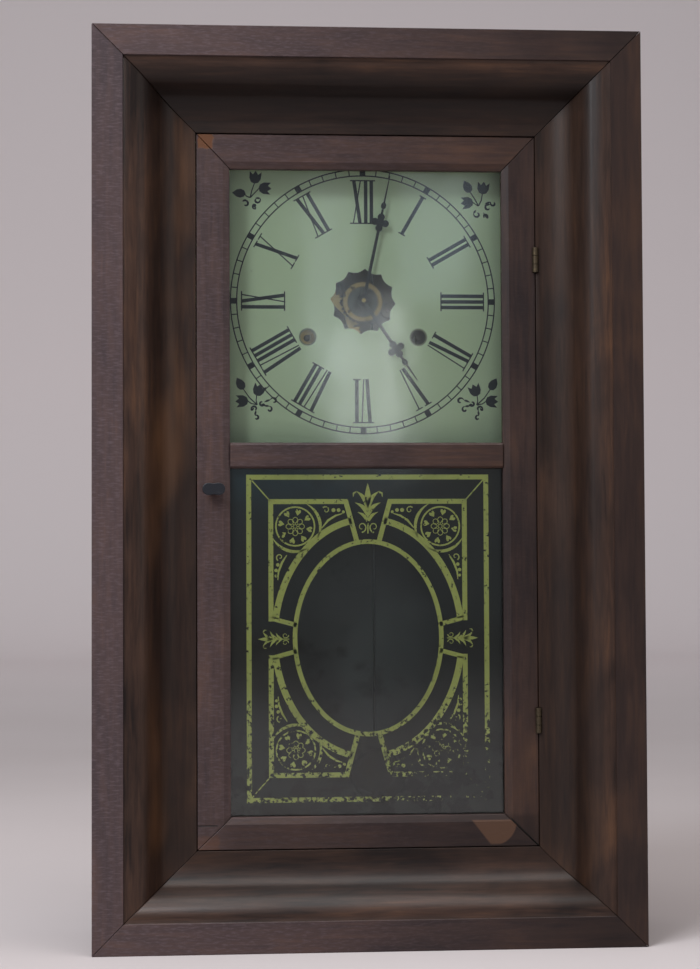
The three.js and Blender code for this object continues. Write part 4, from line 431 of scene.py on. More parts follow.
# Damage on the door's face. Lost veneer: left, right, low, high and softness of the edge.
LOST_AT_TOP = (-0.1217, -0.1112, 0.5735, 0.5860, 0.0006)
LOST_AT_BOTTOM = (-0.1235, -0.1070, 0.0690, 0.0795, 0.0012)
PATCH_LEFT, PATCH_RIGHT = 0.0715, 0.1015
PATCH_BOTTOM, PATCH_TOP = 0.0712, 0.0924
PATCH_SLANT = 0.78
PATCH_MIDDLE = (0.0890, DOOR_FACE, 0.0880)
PATCH_RADIUS = 0.0180
MITRE_START = (0.1020, 0.0904)
MITRE_ANGLE = math.radians(45.23)
MITRE_LENGTH = 0.0318
NICK_HEIGHT = 0.0868
NICK_REACH = (-0.1225, -0.1085)


def door_mahogany(grain, seed):
    """Veneer on the door, with the damage at its real places."""
    looks = bpy.context.scene.clock_case
    finish = Finish(f"door_mahogany_{grain.lower()}_{int(10 * seed)}")
    base, streaks, pores = veneer_colour(finish, grain, seed)
    base = bloom_sheen_and_shade(finish, base, 0.75)
    ragged = finish.noise(finish.place, 240.0, 3.0, 0.6) * 0.004 - 0.002
    on_face = 1.0 - finish.step(finish.y, DOOR_FACE + 0.0003, DOOR_FACE + 0.0008)

    x, z = finish.x + ragged, finish.z + ragged
    lost_top, lost_low = (
        finish.within(x, left, right, soft) * finish.within(z, low, high, soft)
        for left, right, low, high, soft in (LOST_AT_TOP, LOST_AT_BOTTOM))
    base = finish.mix(lost_top * on_face * 0.85, base, looks.chip_colour)
    base = finish.mix(lost_low * on_face * 0.25, base, looks.chip_colour)

    # The patch let into the bottom rail: a slanted left end and a rounded lower right.
    slant = finish.x - PATCH_SLANT * (PATCH_TOP - 0.2 * MM - finish.z)
    patch = (finish.within(slant, PATCH_LEFT, PATCH_RIGHT, 0.8 * MM)
             * finish.within(finish.z, PATCH_BOTTOM, PATCH_TOP, 1.0 * MM))
    round_off = finish.node("ShaderNodeVectorMath", {"operation": "DISTANCE"},
                            {0: finish.place, 1: PATCH_MIDDLE}, output=1)
    patch = patch * (1.0 - finish.step(round_off, PATCH_RADIUS - 0.5 * MM,
                                       PATCH_RADIUS + 0.5 * MM))
    mottled = finish.mix(streaks, looks.patch_colour, looks.veneer_warm)
    base = finish.mix(patch * on_face * 0.60, base, mottled)

    # The open mitre at the lower right: a dark line from the glass to the outer corner.
    from_x, from_z = finish.x - MITRE_START[0], finish.z - MITRE_START[1]
    c, s = math.cos(MITRE_ANGLE), math.sin(MITRE_ANGLE)
    across = from_x * s + from_z * c
    run = from_x * c - from_z * s
    gap = ((1.0 - finish.step(abs(across), 0.35 * MM, 0.8 * MM))
           * finish.within(run, -1.0 * MM, MITRE_LENGTH, 0.8 * MM))
    nick = ((1.0 - finish.step(abs(finish.z - NICK_HEIGHT), 0.2 * MM, 0.7 * MM))
            * finish.within(finish.x, *NICK_REACH, 1.0 * MM))
    dark = finish.math("MAXIMUM", gap, nick * 0.8) * on_face
    base = finish.mix(dark, base, (0.003, 0.0025, 0.002))
    return polish(finish, base, streaks, pores, dark * 2.0 + lost_top * 1.2 + lost_low)


def pine(grain, seed):
    """Aged, lightly stained pine inside and behind the case."""
    looks = bpy.context.scene.clock_case
    finish = Finish(f"pine_{grain.lower()}_{int(10 * seed)}")
    along = finish.stretched(GRAIN_SCALE[grain], (seed, 0.4 * seed, 0.2 * seed))
    rings = finish.node("ShaderNodeTexWave", {"wave_type": "RINGS", "rings_direction": grain}, {
        "Vector": along, "Scale": 34.0, "Distortion": 9.0, "Detail": 3.0, "Detail Scale": 1.4})
    fibre = finish.noise(along, 900.0, 4.0, 0.6)
    grime = finish.noise(finish.place, 9.0, 4.0, 0.6)
    base = finish.mix(rings * 0.7 + fibre * 0.3, looks.pine_light, looks.pine_dark)
    base = finish.mix(grime * 0.55, base, looks.pine_dark)
    normal = finish.bump(fibre * 0.6 + rings * 0.4, 0.00015)
    return finish.surface(base, 0.66 + fibre * 0.14, normal)


# ---------------------------------------------------------------- metals and paint

def tarnished_brass():
    """Brass long unpolished: brown, with a little of the metal showing."""
    metal = bpy.context.scene.clock_metal
    finish = Finish("tarnished_brass")
    cloud = finish.noise(finish.place, 60.0, 5.0, 0.6)
    rubbed_wear_and_sheen = finish.step(finish.noise(finish.place, 210.0, 4.0, 0.6), 0.56, 0.74)
    base = finish.mix(cloud, metal.dark_brass, (0.045, 0.036, 0.026))
    base = finish.mix(rubbed_wear_and_sheen * 0.15, base, metal.brass)
    return finish.surface(base, 0.46 + cloud * 0.2, finish.bump(rubbed_wear_and_sheen, 0.00002),
                          Metallic=0.85)


def hour_wheel_brass():
    """The wheel behind the dial's hole: blue-grey within, an olive ring, a dark rim of painted shadow from the
    dial's edge.
    """
    metal = bpy.context.scene.clock_metal
    finish = Finish("hour_wheel_brass")
    reach = finish.radius(*DIAL_CENTRE)
    cloud = finish.noise(finish.place, 300.0, 4.0, 0.6)
    spots = finish.step(finish.noise(finish.place, 150.0, 2.0, 0.5), 0.60, 0.66)
    ring = finish.within(reach, 0.0114, 0.0146, 0.0009)
    base = finish.mix(cloud, (0.060, 0.066, 0.072), (0.12, 0.115, 0.10))
    # Painted shadow: the wheel goes dark outside its middle, where the dial shades it; the olive ring is laid over
    # it.
    base = finish.mix(finish.step(reach, 0.0105, 0.0118), base, (0.022, 0.021, 0.020))
    base = finish.mix(ring * 0.9, base, metal.brass)
    base = finish.mix(spots * 0.8, base, (0.014, 0.013, 0.012))
    return finish.surface(base, 0.40 + cloud * 0.2, finish.bump(cloud, 0.00004),
                          Metallic=0.75)


def brass():
    """Rolled brass, dulled and spotted with age."""
    metal = bpy.context.scene.clock_metal
    finish = Finish("aged_brass")
    grain = finish.noise(finish.stretched((1.0, 1.0, 0.12)), 700.0, 4.0, 0.6)
    spots = finish.step(finish.noise(finish.place, 90.0, 5.0, 0.62), 0.50, 0.72)
    base = finish.mix(spots * 0.6, metal.brass, (0.13, 0.075, 0.028))
    base = finish.mix(grain * 0.25, base, (0.60, 0.45, 0.21))
    return finish.surface(base, 0.26 + spots * 0.25 + grain * 0.1,
                          finish.bump(grain, 0.00003), Metallic=1.0)


def steel():
    """Drawn and filed steel, browned a little."""
    metal = bpy.context.scene.clock_metal
    finish = Finish("steel")
    grain = finish.noise(finish.stretched((1.0, 1.0, 0.2)), 900.0, 3.0, 0.6)
    rust = finish.step(finish.noise(finish.place, 120.0, 5.0, 0.65), 0.56, 0.74)
    base = finish.mix(rust * 0.7, metal.steel, (0.085, 0.048, 0.028))
    return finish.surface(base, 0.30 + rust * 0.35 + grain * 0.1,
                          finish.bump(grain, 0.00002), Metallic=0.7)


def blackened_steel():
    """The hands and the catch: black, slightly glossy, rubbed to metal in places."""
    metal = bpy.context.scene.clock_metal
    finish = Finish("blackened_steel")
    rubbed_wear_and_sheen = finish.step(finish.noise(finish.place, 320.0, 4.0, 0.6), 0.60, 0.76)
    base = finish.mix(rubbed_wear_and_sheen * 0.35, metal.black_steel, (0.06, 0.06, 0.065))
    return finish.surface(base, 0.34 + rubbed_wear_and_sheen * 0.2,
                          finish.bump(rubbed_wear_and_sheen, 0.00002), Metallic=0.35)


def cast_iron():
    """Sand-cast iron, brown-black and rough."""
    metal = bpy.context.scene.clock_metal
    finish = Finish("cast_iron")
    grit = finish.noise(finish.place, 1100.0, 4.0, 0.65)
    lumps = finish.noise(finish.place, 160.0, 3.0, 0.5)
    rust = finish.step(finish.noise(finish.place, 45.0, 5.0, 0.6), 0.48, 0.70)
    base = finish.mix(rust * 0.7, metal.iron, (0.10, 0.045, 0.022))
    return finish.surface(base, 0.62 + rust * 0.2,
                          finish.bump(grit * 0.5 + lumps * 0.5, 0.0004), Metallic=0.4)


def tinplate():
    """Grey tinplate with dull crystals."""
    metal = bpy.context.scene.clock_metal
    finish = Finish("tinplate")
    crystals = finish.node("ShaderNodeTexVoronoi", {}, {
        "Vector": finish.place, "Scale": 120.0}, output="Color")
    shade = finish.node("ShaderNodeRGBToBW", {}, {0: crystals})
    base = finish.mix(shade * 0.5, metal.tin, (0.11, 0.10, 0.092))
    return finish.surface(base, 0.38 + shade * 0.2,
                          finish.bump(shade, 0.00001), Metallic=0.8)


def dial_paint():
    """Aged white paint on the dial: greenish, a little mottled, with fine dirt."""
    looks = bpy.context.scene.clock_dial
    finish = Finish("dial_paint")
    cloud = finish.noise(finish.place, 14.0, 4.0, 0.6)
    speck = finish.step(finish.noise(finish.place, 420.0, 3.0, 0.6), 0.66, 0.76)
    base = finish.mix(cloud * 0.5, looks.paint, (0.70, 0.81, 0.60))
    base = finish.mix(speck * 0.35, base, (0.24, 0.26, 0.16))
    rim = finish.step(abs(finish.x), 0.092, 0.101)
    base = finish.mix(rim * 0.25, base, (0.30, 0.34, 0.20))
    for side in (-1, 1):
        edge = finish.radius(side * WINDING_PLACE[0], WINDING_PLACE[1])
        base = finish.mix((1.0 - finish.step(edge, 0.0060, 0.0069)) * 0.8, base,
                          (0.10, 0.085, 0.035))
    metal = bpy.context.scene.clock_metal
    back = finish.step(finish.y, DIAL_FACE + 0.0002, DIAL_FACE + 0.0004)
    base = finish.mix(back, base, metal.tin)
    fine = finish.noise(finish.place, 900.0, 3.0, 0.5)
    return finish.surface(base, 0.46 + cloud * 0.14, finish.bump(fine, 0.00002))


def dial_ink():
    """Blue-black ink, worn a little thin."""
    looks = bpy.context.scene.clock_dial
    finish = Finish("dial_ink")
    thin = finish.step(finish.noise(finish.place, 520.0, 4.0, 0.6), 0.52, 0.72)
    base = finish.mix(thin * 0.35, looks.ink, (0.09, 0.12, 0.13))
    return finish.surface(base, 0.5 + thin * 0.15, finish.bump(thin, 0.00001))


def worn(finish, scale):
    """How far the tablet's paint has gone: little at the top, much at the lower right."""
    flakes = finish.noise(finish.place, scale, 5.0, 0.68)
    broad = finish.noise(finish.place, 21.0, 3.0, 0.5)
    low = 1.0 - finish.step(finish.z, 0.105, 0.205)
    right = finish.step(finish.x, -0.020, 0.080)
    reach = low * (0.10 + right * 0.16) + broad * 0.14
    return flakes + reach


def tablet_gold():
    """Olive-gold bronze paint behind the glass, flaked away in places."""
    looks = bpy.context.scene.clock_tablet
    finish = Finish("tablet_gold")
    gone = finish.step(worn(finish, 330.0), 0.665, 0.715)
    mottle = finish.noise(finish.place, 260.0, 4.0, 0.6)
    base = finish.mix(mottle, looks.gold, (0.74, 0.78, 0.26))
    tarnish = finish.step(finish.noise(finish.place, 34.0, 3.0, 0.5), 0.50, 0.75)
    base = finish.mix(tarnish * 0.3, base, (0.30, 0.29, 0.08))
    return finish.surface(base, 0.42 + mottle * 0.16, finish.bump(mottle, 0.00001),
                          alpha=1.0 - gone)


def tablet_ground():
    """Thin black paint behind the glass: hazed at the upper left, with blotches lower down."""
    looks = bpy.context.scene.clock_tablet
    finish = Finish("tablet_ground")
    cloud = finish.noise(finish.place, 30.0, 4.0, 0.6)
    low = 1.0 - finish.step(finish.z, 0.100, 0.230)
    blotch = finish.step(finish.noise(finish.place, 75.0, 4.0, 0.62) + low * 0.12, 0.60, 0.68)
    base = finish.mix(cloud, looks.ground, (0.036, 0.038, 0.040))
    high = finish.step(finish.z, 0.290, 0.345) * (1.0 - finish.step(finish.x, -0.02, 0.06))
    base = finish.mix(high * cloud, base, (0.040, 0.085, 0.12))
    base = finish.mix(blotch * low, base, (0.004, 0.005, 0.006))
    brown = finish.step(finish.noise(finish.place, 16.0, 3.0, 0.5), 0.46, 0.62)
    base = finish.mix(brown * 0.5, base, (0.030, 0.024, 0.018))
    chipped = finish.step(finish.noise(finish.place, 420.0, 3.0, 0.6), 0.76, 0.80)
    base = finish.mix(chipped * 0.35, base, (0.16, 0.19, 0.18))
    # Paint rubbed thin over the bob, which shows through it.
    thin = 1.0 - finish.step(finish.radius(BOB_PLACE[0], BOB_PLACE[1]), 0.0150, 0.0215)
    return finish.surface(base, 0.5 + cloud * 0.2, finish.bump(cloud, 0.00001),
                          alpha=1.0 - thin * 0.40, Specular_IOR_Level=0.2)


def clear_glass():
    """Thin window glass: it lets light through and mirrors a little of the room."""
    finish = Finish("clear_glass")
    waver = finish.noise(finish.place, 20.0, 2.0, 0.5)
    normal = finish.bump(waver, 0.00022)
    gloss = finish.node("ShaderNodeFresnel", {}, {"IOR": 1.5, "Normal": normal})
    through = finish.node("ShaderNodeBsdfTransparent", {}, {"Color": (0.93, 0.96, 0.94, 1.0)})
    mirror = finish.node("ShaderNodeBsdfGlossy", {}, {"Roughness": 0.085, "Normal": normal})
    return finish.end(finish.node("ShaderNodeMixShader", {}, {0: gloss, 1: through, 2: mirror}))


def plain_paper():
    """The plain sheet pasted inside the case, browned and stained."""
    finish = Finish("plain_paper")
    cloud = finish.noise(finish.place, 12.0, 5.0, 0.6)
    fibre = finish.noise(finish.place, 800.0, 3.0, 0.6)
    base = finish.mix(cloud, (0.155, 0.165, 0.172), (0.075, 0.076, 0.076))
    stain = finish.step(finish.noise(finish.place, 26.0, 4.0, 0.6), 0.55, 0.7)
    base = finish.mix(stain * 0.5, base, (0.035, 0.028, 0.022))
    return finish.surface(base, 0.8 + fibre * 0.1, finish.bump(fibre, 0.00004))


def twisted_cord():
    """Cotton cord, its strands darkened in the grooves."""
    metal = bpy.context.scene.clock_metal
    finish = Finish("twisted_cord")
    fuzz = finish.noise(finish.place, 2600.0, 3.0, 0.6)
    grime = finish.noise(finish.place, 60.0, 4.0, 0.6)
    base = finish.mix(fuzz * 0.5, metal.cord, (0.17, 0.12, 0.065))
    base = finish.mix(grime * 0.4, base, (0.10, 0.07, 0.04))
    return finish.surface(base, 0.8 + fuzz * 0.12, finish.bump(fuzz, 0.0001))


def pale_floor():
    """The plain floor and backdrop."""
    stage = bpy.context.scene.clock_stage
    finish = Finish("pale_floor")
    cloud = finish.noise(finish.place, 1.4, 3.0, 0.5)
    base = finish.mix(cloud, stage.floor_colour, (0.44, 0.40, 0.40))
    base = finish.mix(finish.step(finish.y, 1.2, BACKDROP_START), base, (0.88, 0.80, 0.79))
    return finish.surface(base, 0.85 + cloud * 0.05)


# ---------------------------------------------------------------- meshes

SHARP_DEGREES = 32.0


def object_of(mesh, name, material):
    """A new object in the scene from a bmesh, its faces outward."""
    bmesh.ops.recalc_face_normals(mesh, faces=mesh.faces)
    data = bpy.data.meshes.new(name)
    mesh.to_mesh(data)
    mesh.free()
    made = bpy.data.objects.new(name, data)
    bpy.context.scene.collection.objects.link(made)
    data.materials.append(material)
    return made


def add_slab(mesh, outline, front, back):
    """A flat solid between two depths from an outline of (x, z) points, in metres."""
    near = [mesh.verts.new((x, front, z)) for x, z in outline]
    far = [mesh.verts.new((x, back, z)) for x, z in outline]
    mesh.faces.new(near)
    mesh.faces.new(list(reversed(far)))
    for i in range(len(outline)):
        j = (i + 1) % len(outline)
        mesh.faces.new((near[i], far[i], far[j], near[j]))


def add_band(mesh, left, right, front, back, closed=False):
    """A flat solid between two lines of (x, z) points, in metres."""
    rows = [[mesh.verts.new((p[0], y, p[1])) for p in side] for y in (front, back)
            for side in (left, right)]
    near_left, near_right, far_left, far_right = rows
    count = len(left)
    for i in range(count if closed else count - 1):
        j = (i + 1) % count
        mesh.faces.new((near_left[i], near_right[i], near_right[j], near_left[j]))
        mesh.faces.new((far_left[j], far_right[j], far_right[i], far_left[i]))
        mesh.faces.new((near_left[j], far_left[j], far_left[i], near_left[i]))
        mesh.faces.new((near_right[i], far_right[i], far_right[j], near_right[j]))
    if not closed:
        mesh.faces.new((near_left[0], far_left[0], far_right[0], near_right[0]))
        mesh.faces.new((near_right[-1], far_right[-1], far_left[-1], near_left[-1]))


def add_line(mesh, points, width, front, back, closed=False):
    """A drawn line of one width, or of one width for each point."""
    count = len(points)
    widths = width if isinstance(width, (list, tuple)) else [width] * count
    left, right = [], []
    for i, here in enumerate(points):
        if closed:
            before, after = points[i - 1], points[(i + 1) % count]
        else:
            before, after = points[max(i - 1, 0)], points[min(i + 1, count - 1)]
        first = (Vector(here) - Vector(before)).normalized() if before != here else None
        second = (Vector(after) - Vector(here)).normalized() if after != here else None
        first, second = first or second, second or first
        mean = (first + second).normalized()
        side = Vector((-mean.y, mean.x))
        reach = widths[i] / 2 / max(0.5, mean.dot(first))
        left.append(Vector(here) + side * reach)
        right.append(Vector(here) - side * reach)
    add_band(mesh, left, right, front, back, closed)


def oval_points(centre, radii, start, end, count):
    """Points on an oval between two angles in degrees, the last one included."""
    points = []
    for i in range(count):
        angle = math.radians(start + (end - start) * i / (count - 1))
        points.append((centre[0] + radii[0] * math.cos(angle),
                       centre[1] + radii[1] * math.sin(angle)))
    return points


def whole_oval(centre, radii, count):
    """Points all round an oval."""
    return oval_points(centre, radii, 0.0, 360.0 * (count - 1) / count, count)


def leaf_outline(root, tip, width, bend=0.0):
    """A pointed leaf from root to tip, bowed to one side."""
    count = 9
    root, tip = Vector(root), Vector(tip)
    run = tip - root
    side = Vector((-run.y, run.x)).normalized()
    upper, lower = [], []
    for i in range(1, count):
        t = i / count
        middle = root + run * t + side * bend * math.sin(math.pi * t)
        half = width / 2 * math.sin(math.pi * t ** 0.8)
        upper.append(middle + side * half)
        lower.append(middle - side * half)
    return [root, *upper, tip, *reversed(lower)]


def merged_copy(node, name):
    """A copy of a CAD node's mesh with its loose triangles joined into flat faces."""
    data = frame["nodes"][node].data.copy()
    data.name = name
    mesh = bmesh.new()
    mesh.from_mesh(data)
    bmesh.ops.remove_doubles(mesh, verts=mesh.verts, dist=1e-6)
    bmesh.ops.dissolve_limit(mesh, angle_limit=math.radians(0.4), verts=mesh.verts,
                             edges=mesh.edges)
    mesh.to_mesh(data)
    mesh.free()
    data.materials.clear()
    made = bpy.data.objects.new(name, data)
    bpy.context.scene.collection.objects.link(made)
    return made


def smooth_sides(made, degrees=SHARP_DEGREES):
    """Smooth shading except over the sharp edges."""
    data = made.data
    data.polygons.foreach_set("use_smooth", [True] * len(data.polygons))
    data.set_sharp_from_angle(angle=math.radians(degrees))


def ease_edges(made, width):
    """A small round on every sharp edge."""
    bevel = made.modifiers.new("eased_edges", "BEVEL")
    bevel.width = width
    bevel.segments = 2
    bevel.limit_method = "ANGLE"
    bevel.angle_limit = math.radians(SHARP_DEGREES)
    bevel.use_clamp_overlap = True
    bevel.harden_normals = True


def body_of_node(node):
    """The body that a CAD node rides on."""
    for body, members in frame["record"]["behaviour"]["bodies"].items():
        if node in members:
            return body
    raise RuntimeError(f"no body holds {node}")


def settle(made, body):
    """A piece rides on a body."""
    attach(made, body)
    return made


def stand_in(node, name, material, ease=0.0, smooth=SHARP_DEGREES):
    """A finished copy that takes a CAD node's place."""
    made = merged_copy(node, name)
    made.data.materials.append(material)
    smooth_sides(made, smooth)
    if ease:
        ease_edges(made, ease)
    settle(made, body_of_node(node))
    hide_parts(node)
    return made


def finish_node(node, material):
    """Gives a CAD node its material where it stands."""
    made = frame["nodes"][node]
    made.data.materials.clear()
    made.data.materials.append(material)


# ---------------------------------------------------------------- geometry nodes

def repeat_round_tree():
    """Node tree: copies a mark round an axis along Y, then moves the ring to its centre."""
    name = "repeat_round"
    if name in bpy.data.node_groups:
        return bpy.data.node_groups[name]
    tree = bpy.data.node_groups.new(name, "GeometryNodeTree")
    face = tree.interface
    face.new_socket("Geometry", in_out="INPUT", socket_type="NodeSocketGeometry")
    face.new_socket("Count", in_out="INPUT", socket_type="NodeSocketInt")
    face.new_socket("Turn", in_out="INPUT", socket_type="NodeSocketFloat")
    face.new_socket("Centre", in_out="INPUT", socket_type="NodeSocketVector")
    face.new_socket("Material", in_out="INPUT", socket_type="NodeSocketMaterial")
    face.new_socket("Geometry", in_out="OUTPUT", socket_type="NodeSocketGeometry")

    def node(kind, **settings):
        made = tree.nodes.new(kind)
        for key, value in settings.items():
            setattr(made, key, value)
        return made

    given = node("NodeGroupInput")
    points = node("GeometryNodePoints")
    index = node("GeometryNodeInputIndex")
    share = node("ShaderNodeMath", operation="DIVIDE")
    angle = node("ShaderNodeMath", operation="MULTIPLY_ADD")
    angle.inputs[1].default_value = 2 * math.pi
    turned = node("ShaderNodeCombineXYZ")
    placed = node("GeometryNodeInstanceOnPoints")
    real = node("GeometryNodeRealizeInstances")
    moved = node("GeometryNodeTransform")
    painted = node("GeometryNodeSetMaterial")
    result = node("NodeGroupOutput")
    join = tree.links.new
    join(given.outputs["Count"], points.inputs["Count"])
    join(index.outputs[0], share.inputs[0])
    join(given.outputs["Count"], share.inputs[1])
    join(share.outputs[0], angle.inputs[0])
    join(given.outputs["Turn"], angle.inputs[2])
    join(angle.outputs[0], turned.inputs["Y"])
    join(points.outputs[0], placed.inputs["Points"])
    join(given.outputs["Geometry"], placed.inputs["Instance"])
    join(turned.outputs[0], placed.inputs["Rotation"])
    join(placed.outputs[0], real.inputs[0])
    join(real.outputs[0], moved.inputs["Geometry"])
    join(given.outputs["Centre"], moved.inputs["Translation"])
    join(moved.outputs[0], painted.inputs["Geometry"])
    join(given.outputs["Material"], painted.inputs["Material"])
    join(painted.outputs[0], result.inputs[0])
    return tree


def repeat_round(mark, count, centre, material, turn=0.0):
    """Repeats a mark, drawn about the origin, round a centre (x, z). Gives a plain mesh."""
    tree = repeat_round_tree()
    modifier = mark.modifiers.new("repeat_round", "NODES")
    modifier.node_group = tree
    values = {"Count": count, "Turn": turn, "Centre": (centre[0], 0.0, centre[1]),
              "Material": material}
    for item in tree.interface.items_tree:
        if item.in_out == "INPUT" and item.name in values:
            modifier[item.identifier] = values[item.name]
    settled = mark.evaluated_get(bpy.context.evaluated_depsgraph_get())
    data = bpy.data.meshes.new_from_object(settled)
    mark.modifiers.clear()
    old, name = mark.data, mark.data.name
    mark.data = data
    bpy.data.meshes.remove(old)
    data.name = name
    return mark


def mark_object(name, outline, front, back, material):
    """One flat mark about the origin, ready to be repeated."""
    mesh = bmesh.new()
    add_slab(mesh, outline, front, back)
    return object_of(mesh, name, material)


# ---------------------------------------------------------------- stage

FLOOR_REACH = 8.0
BACKDROP_START = 4.6
BACKDROP_BEND = 0.9
# Thin bright strips of a far window, seen only as reflections in the panes:
# x, z, width, height, power and colour.
FAR_WINDOW = ((0.235, 0.66, 0.055, 0.26, 0.22, (0.90, 0.95, 1.0)),
              (0.325, 0.68, 0.065, 0.34, 0.38, (0.93, 0.96, 1.0)),
              (0.190, 0.88, 0.100, 0.42, 0.24, (0.82, 0.91, 1.0)),
              (0.430, 0.99, 0.150, 0.26, 0.20, (0.72, 0.85, 1.0)))
FAR_WINDOW_DEPTH = -3.2
PANE_TARGET = (0.0, -0.02, 0.42)


def aim(place, target):
    """A matrix at a place, looking at a target."""
    direction = Vector(target) - Vector(place)
    return Matrix.Translation(place) @ direction.to_track_quat("-Z", "Y").to_matrix().to_4x4()


def soft_light(name, place, target, width, height, power, shade):
    data = bpy.data.lights.new(name, "AREA")
    data.shape = "RECTANGLE"
    data.size = width
    data.size_y = height
    data.energy = power
    data.color = shade
    made = bpy.data.objects.new(name, data)
    made.matrix_world = aim(place, target)
    bpy.context.scene.collection.objects.link(made)


class CLOCK_OT_stage(bpy.types.Operator):
    """Sets up the camera, the pale floor with its backdrop, and the soft lights"""

    bl_idname = "clock.stage"
    bl_label = "Stage"

    def execute(self, context):
        stage = context.scene.clock_stage
        data = bpy.data.cameras.new("camera")
        data.sensor_width = 36.0
        data.lens = stage.focal_length
        data.clip_start = 0.05
        pitch, roll, yaw = stage.camera_turn
        turn = (Matrix.Rotation(yaw, 3, "Z") @ Matrix.Rotation(pitch, 3, "X")
                @ Matrix.Rotation(roll, 3, "Y"))
        right, ahead, up = turn.col
        camera = bpy.data.objects.new("camera", data)
        camera.matrix_world = Matrix.Translation(stage.camera_place) @ Matrix(
            (right, up, -ahead)).transposed().to_4x4()
        context.scene.collection.objects.link(camera)
        context.scene.camera = camera

        mesh = bmesh.new()
        profile = [(-FLOOR_REACH, 0.0), (BACKDROP_START, 0.0)]
        for i in range(1, 13):
            angle = math.pi / 2 * i / 12
            profile.append((BACKDROP_START + BACKDROP_BEND * math.sin(angle),
                            BACKDROP_BEND - BACKDROP_BEND * math.cos(angle)))
        profile.append((BACKDROP_START + BACKDROP_BEND, FLOOR_REACH))
        rows = [[mesh.verts.new((x, y, z)) for y, z in profile]
                for x in (-FLOOR_REACH, FLOOR_REACH)]
        for i in range(len(profile) - 1):
            mesh.faces.new((rows[0][i], rows[1][i], rows[1][i + 1], rows[0][i + 1]))
        floor = object_of(mesh, "floor", finish_once(pale_floor))
        smooth_sides(floor, 60.0)

        target = (0.0, 0.0, 0.34)
        soft_light("window", (-1.6, -2.0, 2.2), target, 1.5, 1.6, stage.key_power,
                   (0.88, 0.94, 1.0))
        soft_light("fill", (1.9, -1.7, 0.9), target, 1.2, 1.4, stage.fill_power,
                   (1.0, 0.95, 0.92))
        soft_light("ceiling", (0.0, -0.7, 2.9), (0.0, 0.0, 0.2), 2.2, 1.8, stage.ceiling_power,
                   (1.0, 0.97, 0.95))
        for i, (x, z, width, height, power, shade) in enumerate(FAR_WINDOW):
            soft_light(f"far_window_{i}", (x, FAR_WINDOW_DEPTH, z), PANE_TARGET, width, height,
                       power, shade)
        world = bpy.data.worlds.new("room")
        world.use_nodes = True
        world.node_tree.nodes["Background"].inputs[0].default_value = (0.92, 0.93, 1.0, 1.0)
        world.node_tree.nodes["Background"].inputs[1].default_value = stage.room_light
        context.scene.world = world
        context.scene.view_settings.view_transform = "Standard"
        return {"FINISHED"}


# ---------------------------------------------------------------- cords

CORD_RADIUS = 0.0009
DRUM_CORD_RADIUS = 0.0153
PULLEY_PLACE = (0.1425, 0.649)
PULLEY_CORD_RADIUS = 0.016
CORD_LAY = 0.0065
STRANDS = 3


def cord_mesh(points, name, step):
    """A cord of twisted strands along a line of points."""
    path = [Vector(points[0])]
    for point in points[1:]:
        point = Vector(point)
        start = path[-1]
        parts = max(1, round((point - start).length / step))
        path.extend([start.lerp(point, i / parts) for i in range(1, parts + 1)])
    mesh = bmesh.new()
    sides = 4 * STRANDS
    rings = []
    travelled = 0.0
    side = Vector((0.0, 1.0, 0.0))
    for i, here in enumerate(path):
        ahead = (path[min(i + 1, len(path) - 1)] - path[max(i - 1, 0)]).normalized()
        side = (side - ahead * side.dot(ahead)).normalized()
        over = ahead.cross(side)
        if i:
            travelled += (here - path[i - 1]).length
        twist = 2 * math.pi * travelled / CORD_LAY
        ring = []
        for k in range(sides):
            angle = 2 * math.pi * k / sides
            lobe = 0.80 + 0.20 * abs(math.cos(STRANDS * (angle - twist) / 2))
            spot = here + (side * math.cos(angle) + over * math.sin(angle)) * CORD_RADIUS * lobe
            ring.append(mesh.verts.new(spot))
        rings.append(ring)
    for first, second in zip(rings, rings[1:]):
        for k in range(sides):
            n = (k + 1) % sides
            mesh.faces.new((first[k], first[n], second[n], second[k]))
    mesh.faces.new(list(reversed(rings[0])))
    mesh.faces.new(rings[-1])
    made = object_of(mesh, name, finish_once(twisted_cord))
    smooth_sides(made, 50.0)
    return made


def running_route(side):
    """From the turns on the drum, up to the pulley and over it."""
    drum, wheel = Vector(WINDING_PLACE), Vector(PULLEY_PLACE)
    line = wheel - drum
    leaving = math.atan2(line.y, line.x) - math.acos(
        (DRUM_CORD_RADIUS + PULLEY_CORD_RADIUS) / line.length)
    pitch = 2 * CORD_RADIUS + 0.5 * MM
    turns, wrap_steps, arc_steps = 1.25, 60, 40
    points = []
    for i in range(wrap_steps, -1, -1):
        turn = turns * i / wrap_steps
        angle = leaving - 2 * math.pi * turn
        points.append((side * (drum.x + DRUM_CORD_RADIUS * math.cos(angle)),
                       CORD_PLANE + turn * pitch, drum.y + DRUM_CORD_RADIUS * math.sin(angle)))
    for i in range(arc_steps + 1):
        angle = (leaving + math.pi) * (1 - i / arc_steps)
        points.append((side * (wheel.x + PULLEY_CORD_RADIUS * math.cos(angle)), CORD_PLANE,
                       wheel.y + PULLEY_CORD_RADIUS * math.sin(angle)))
    return points


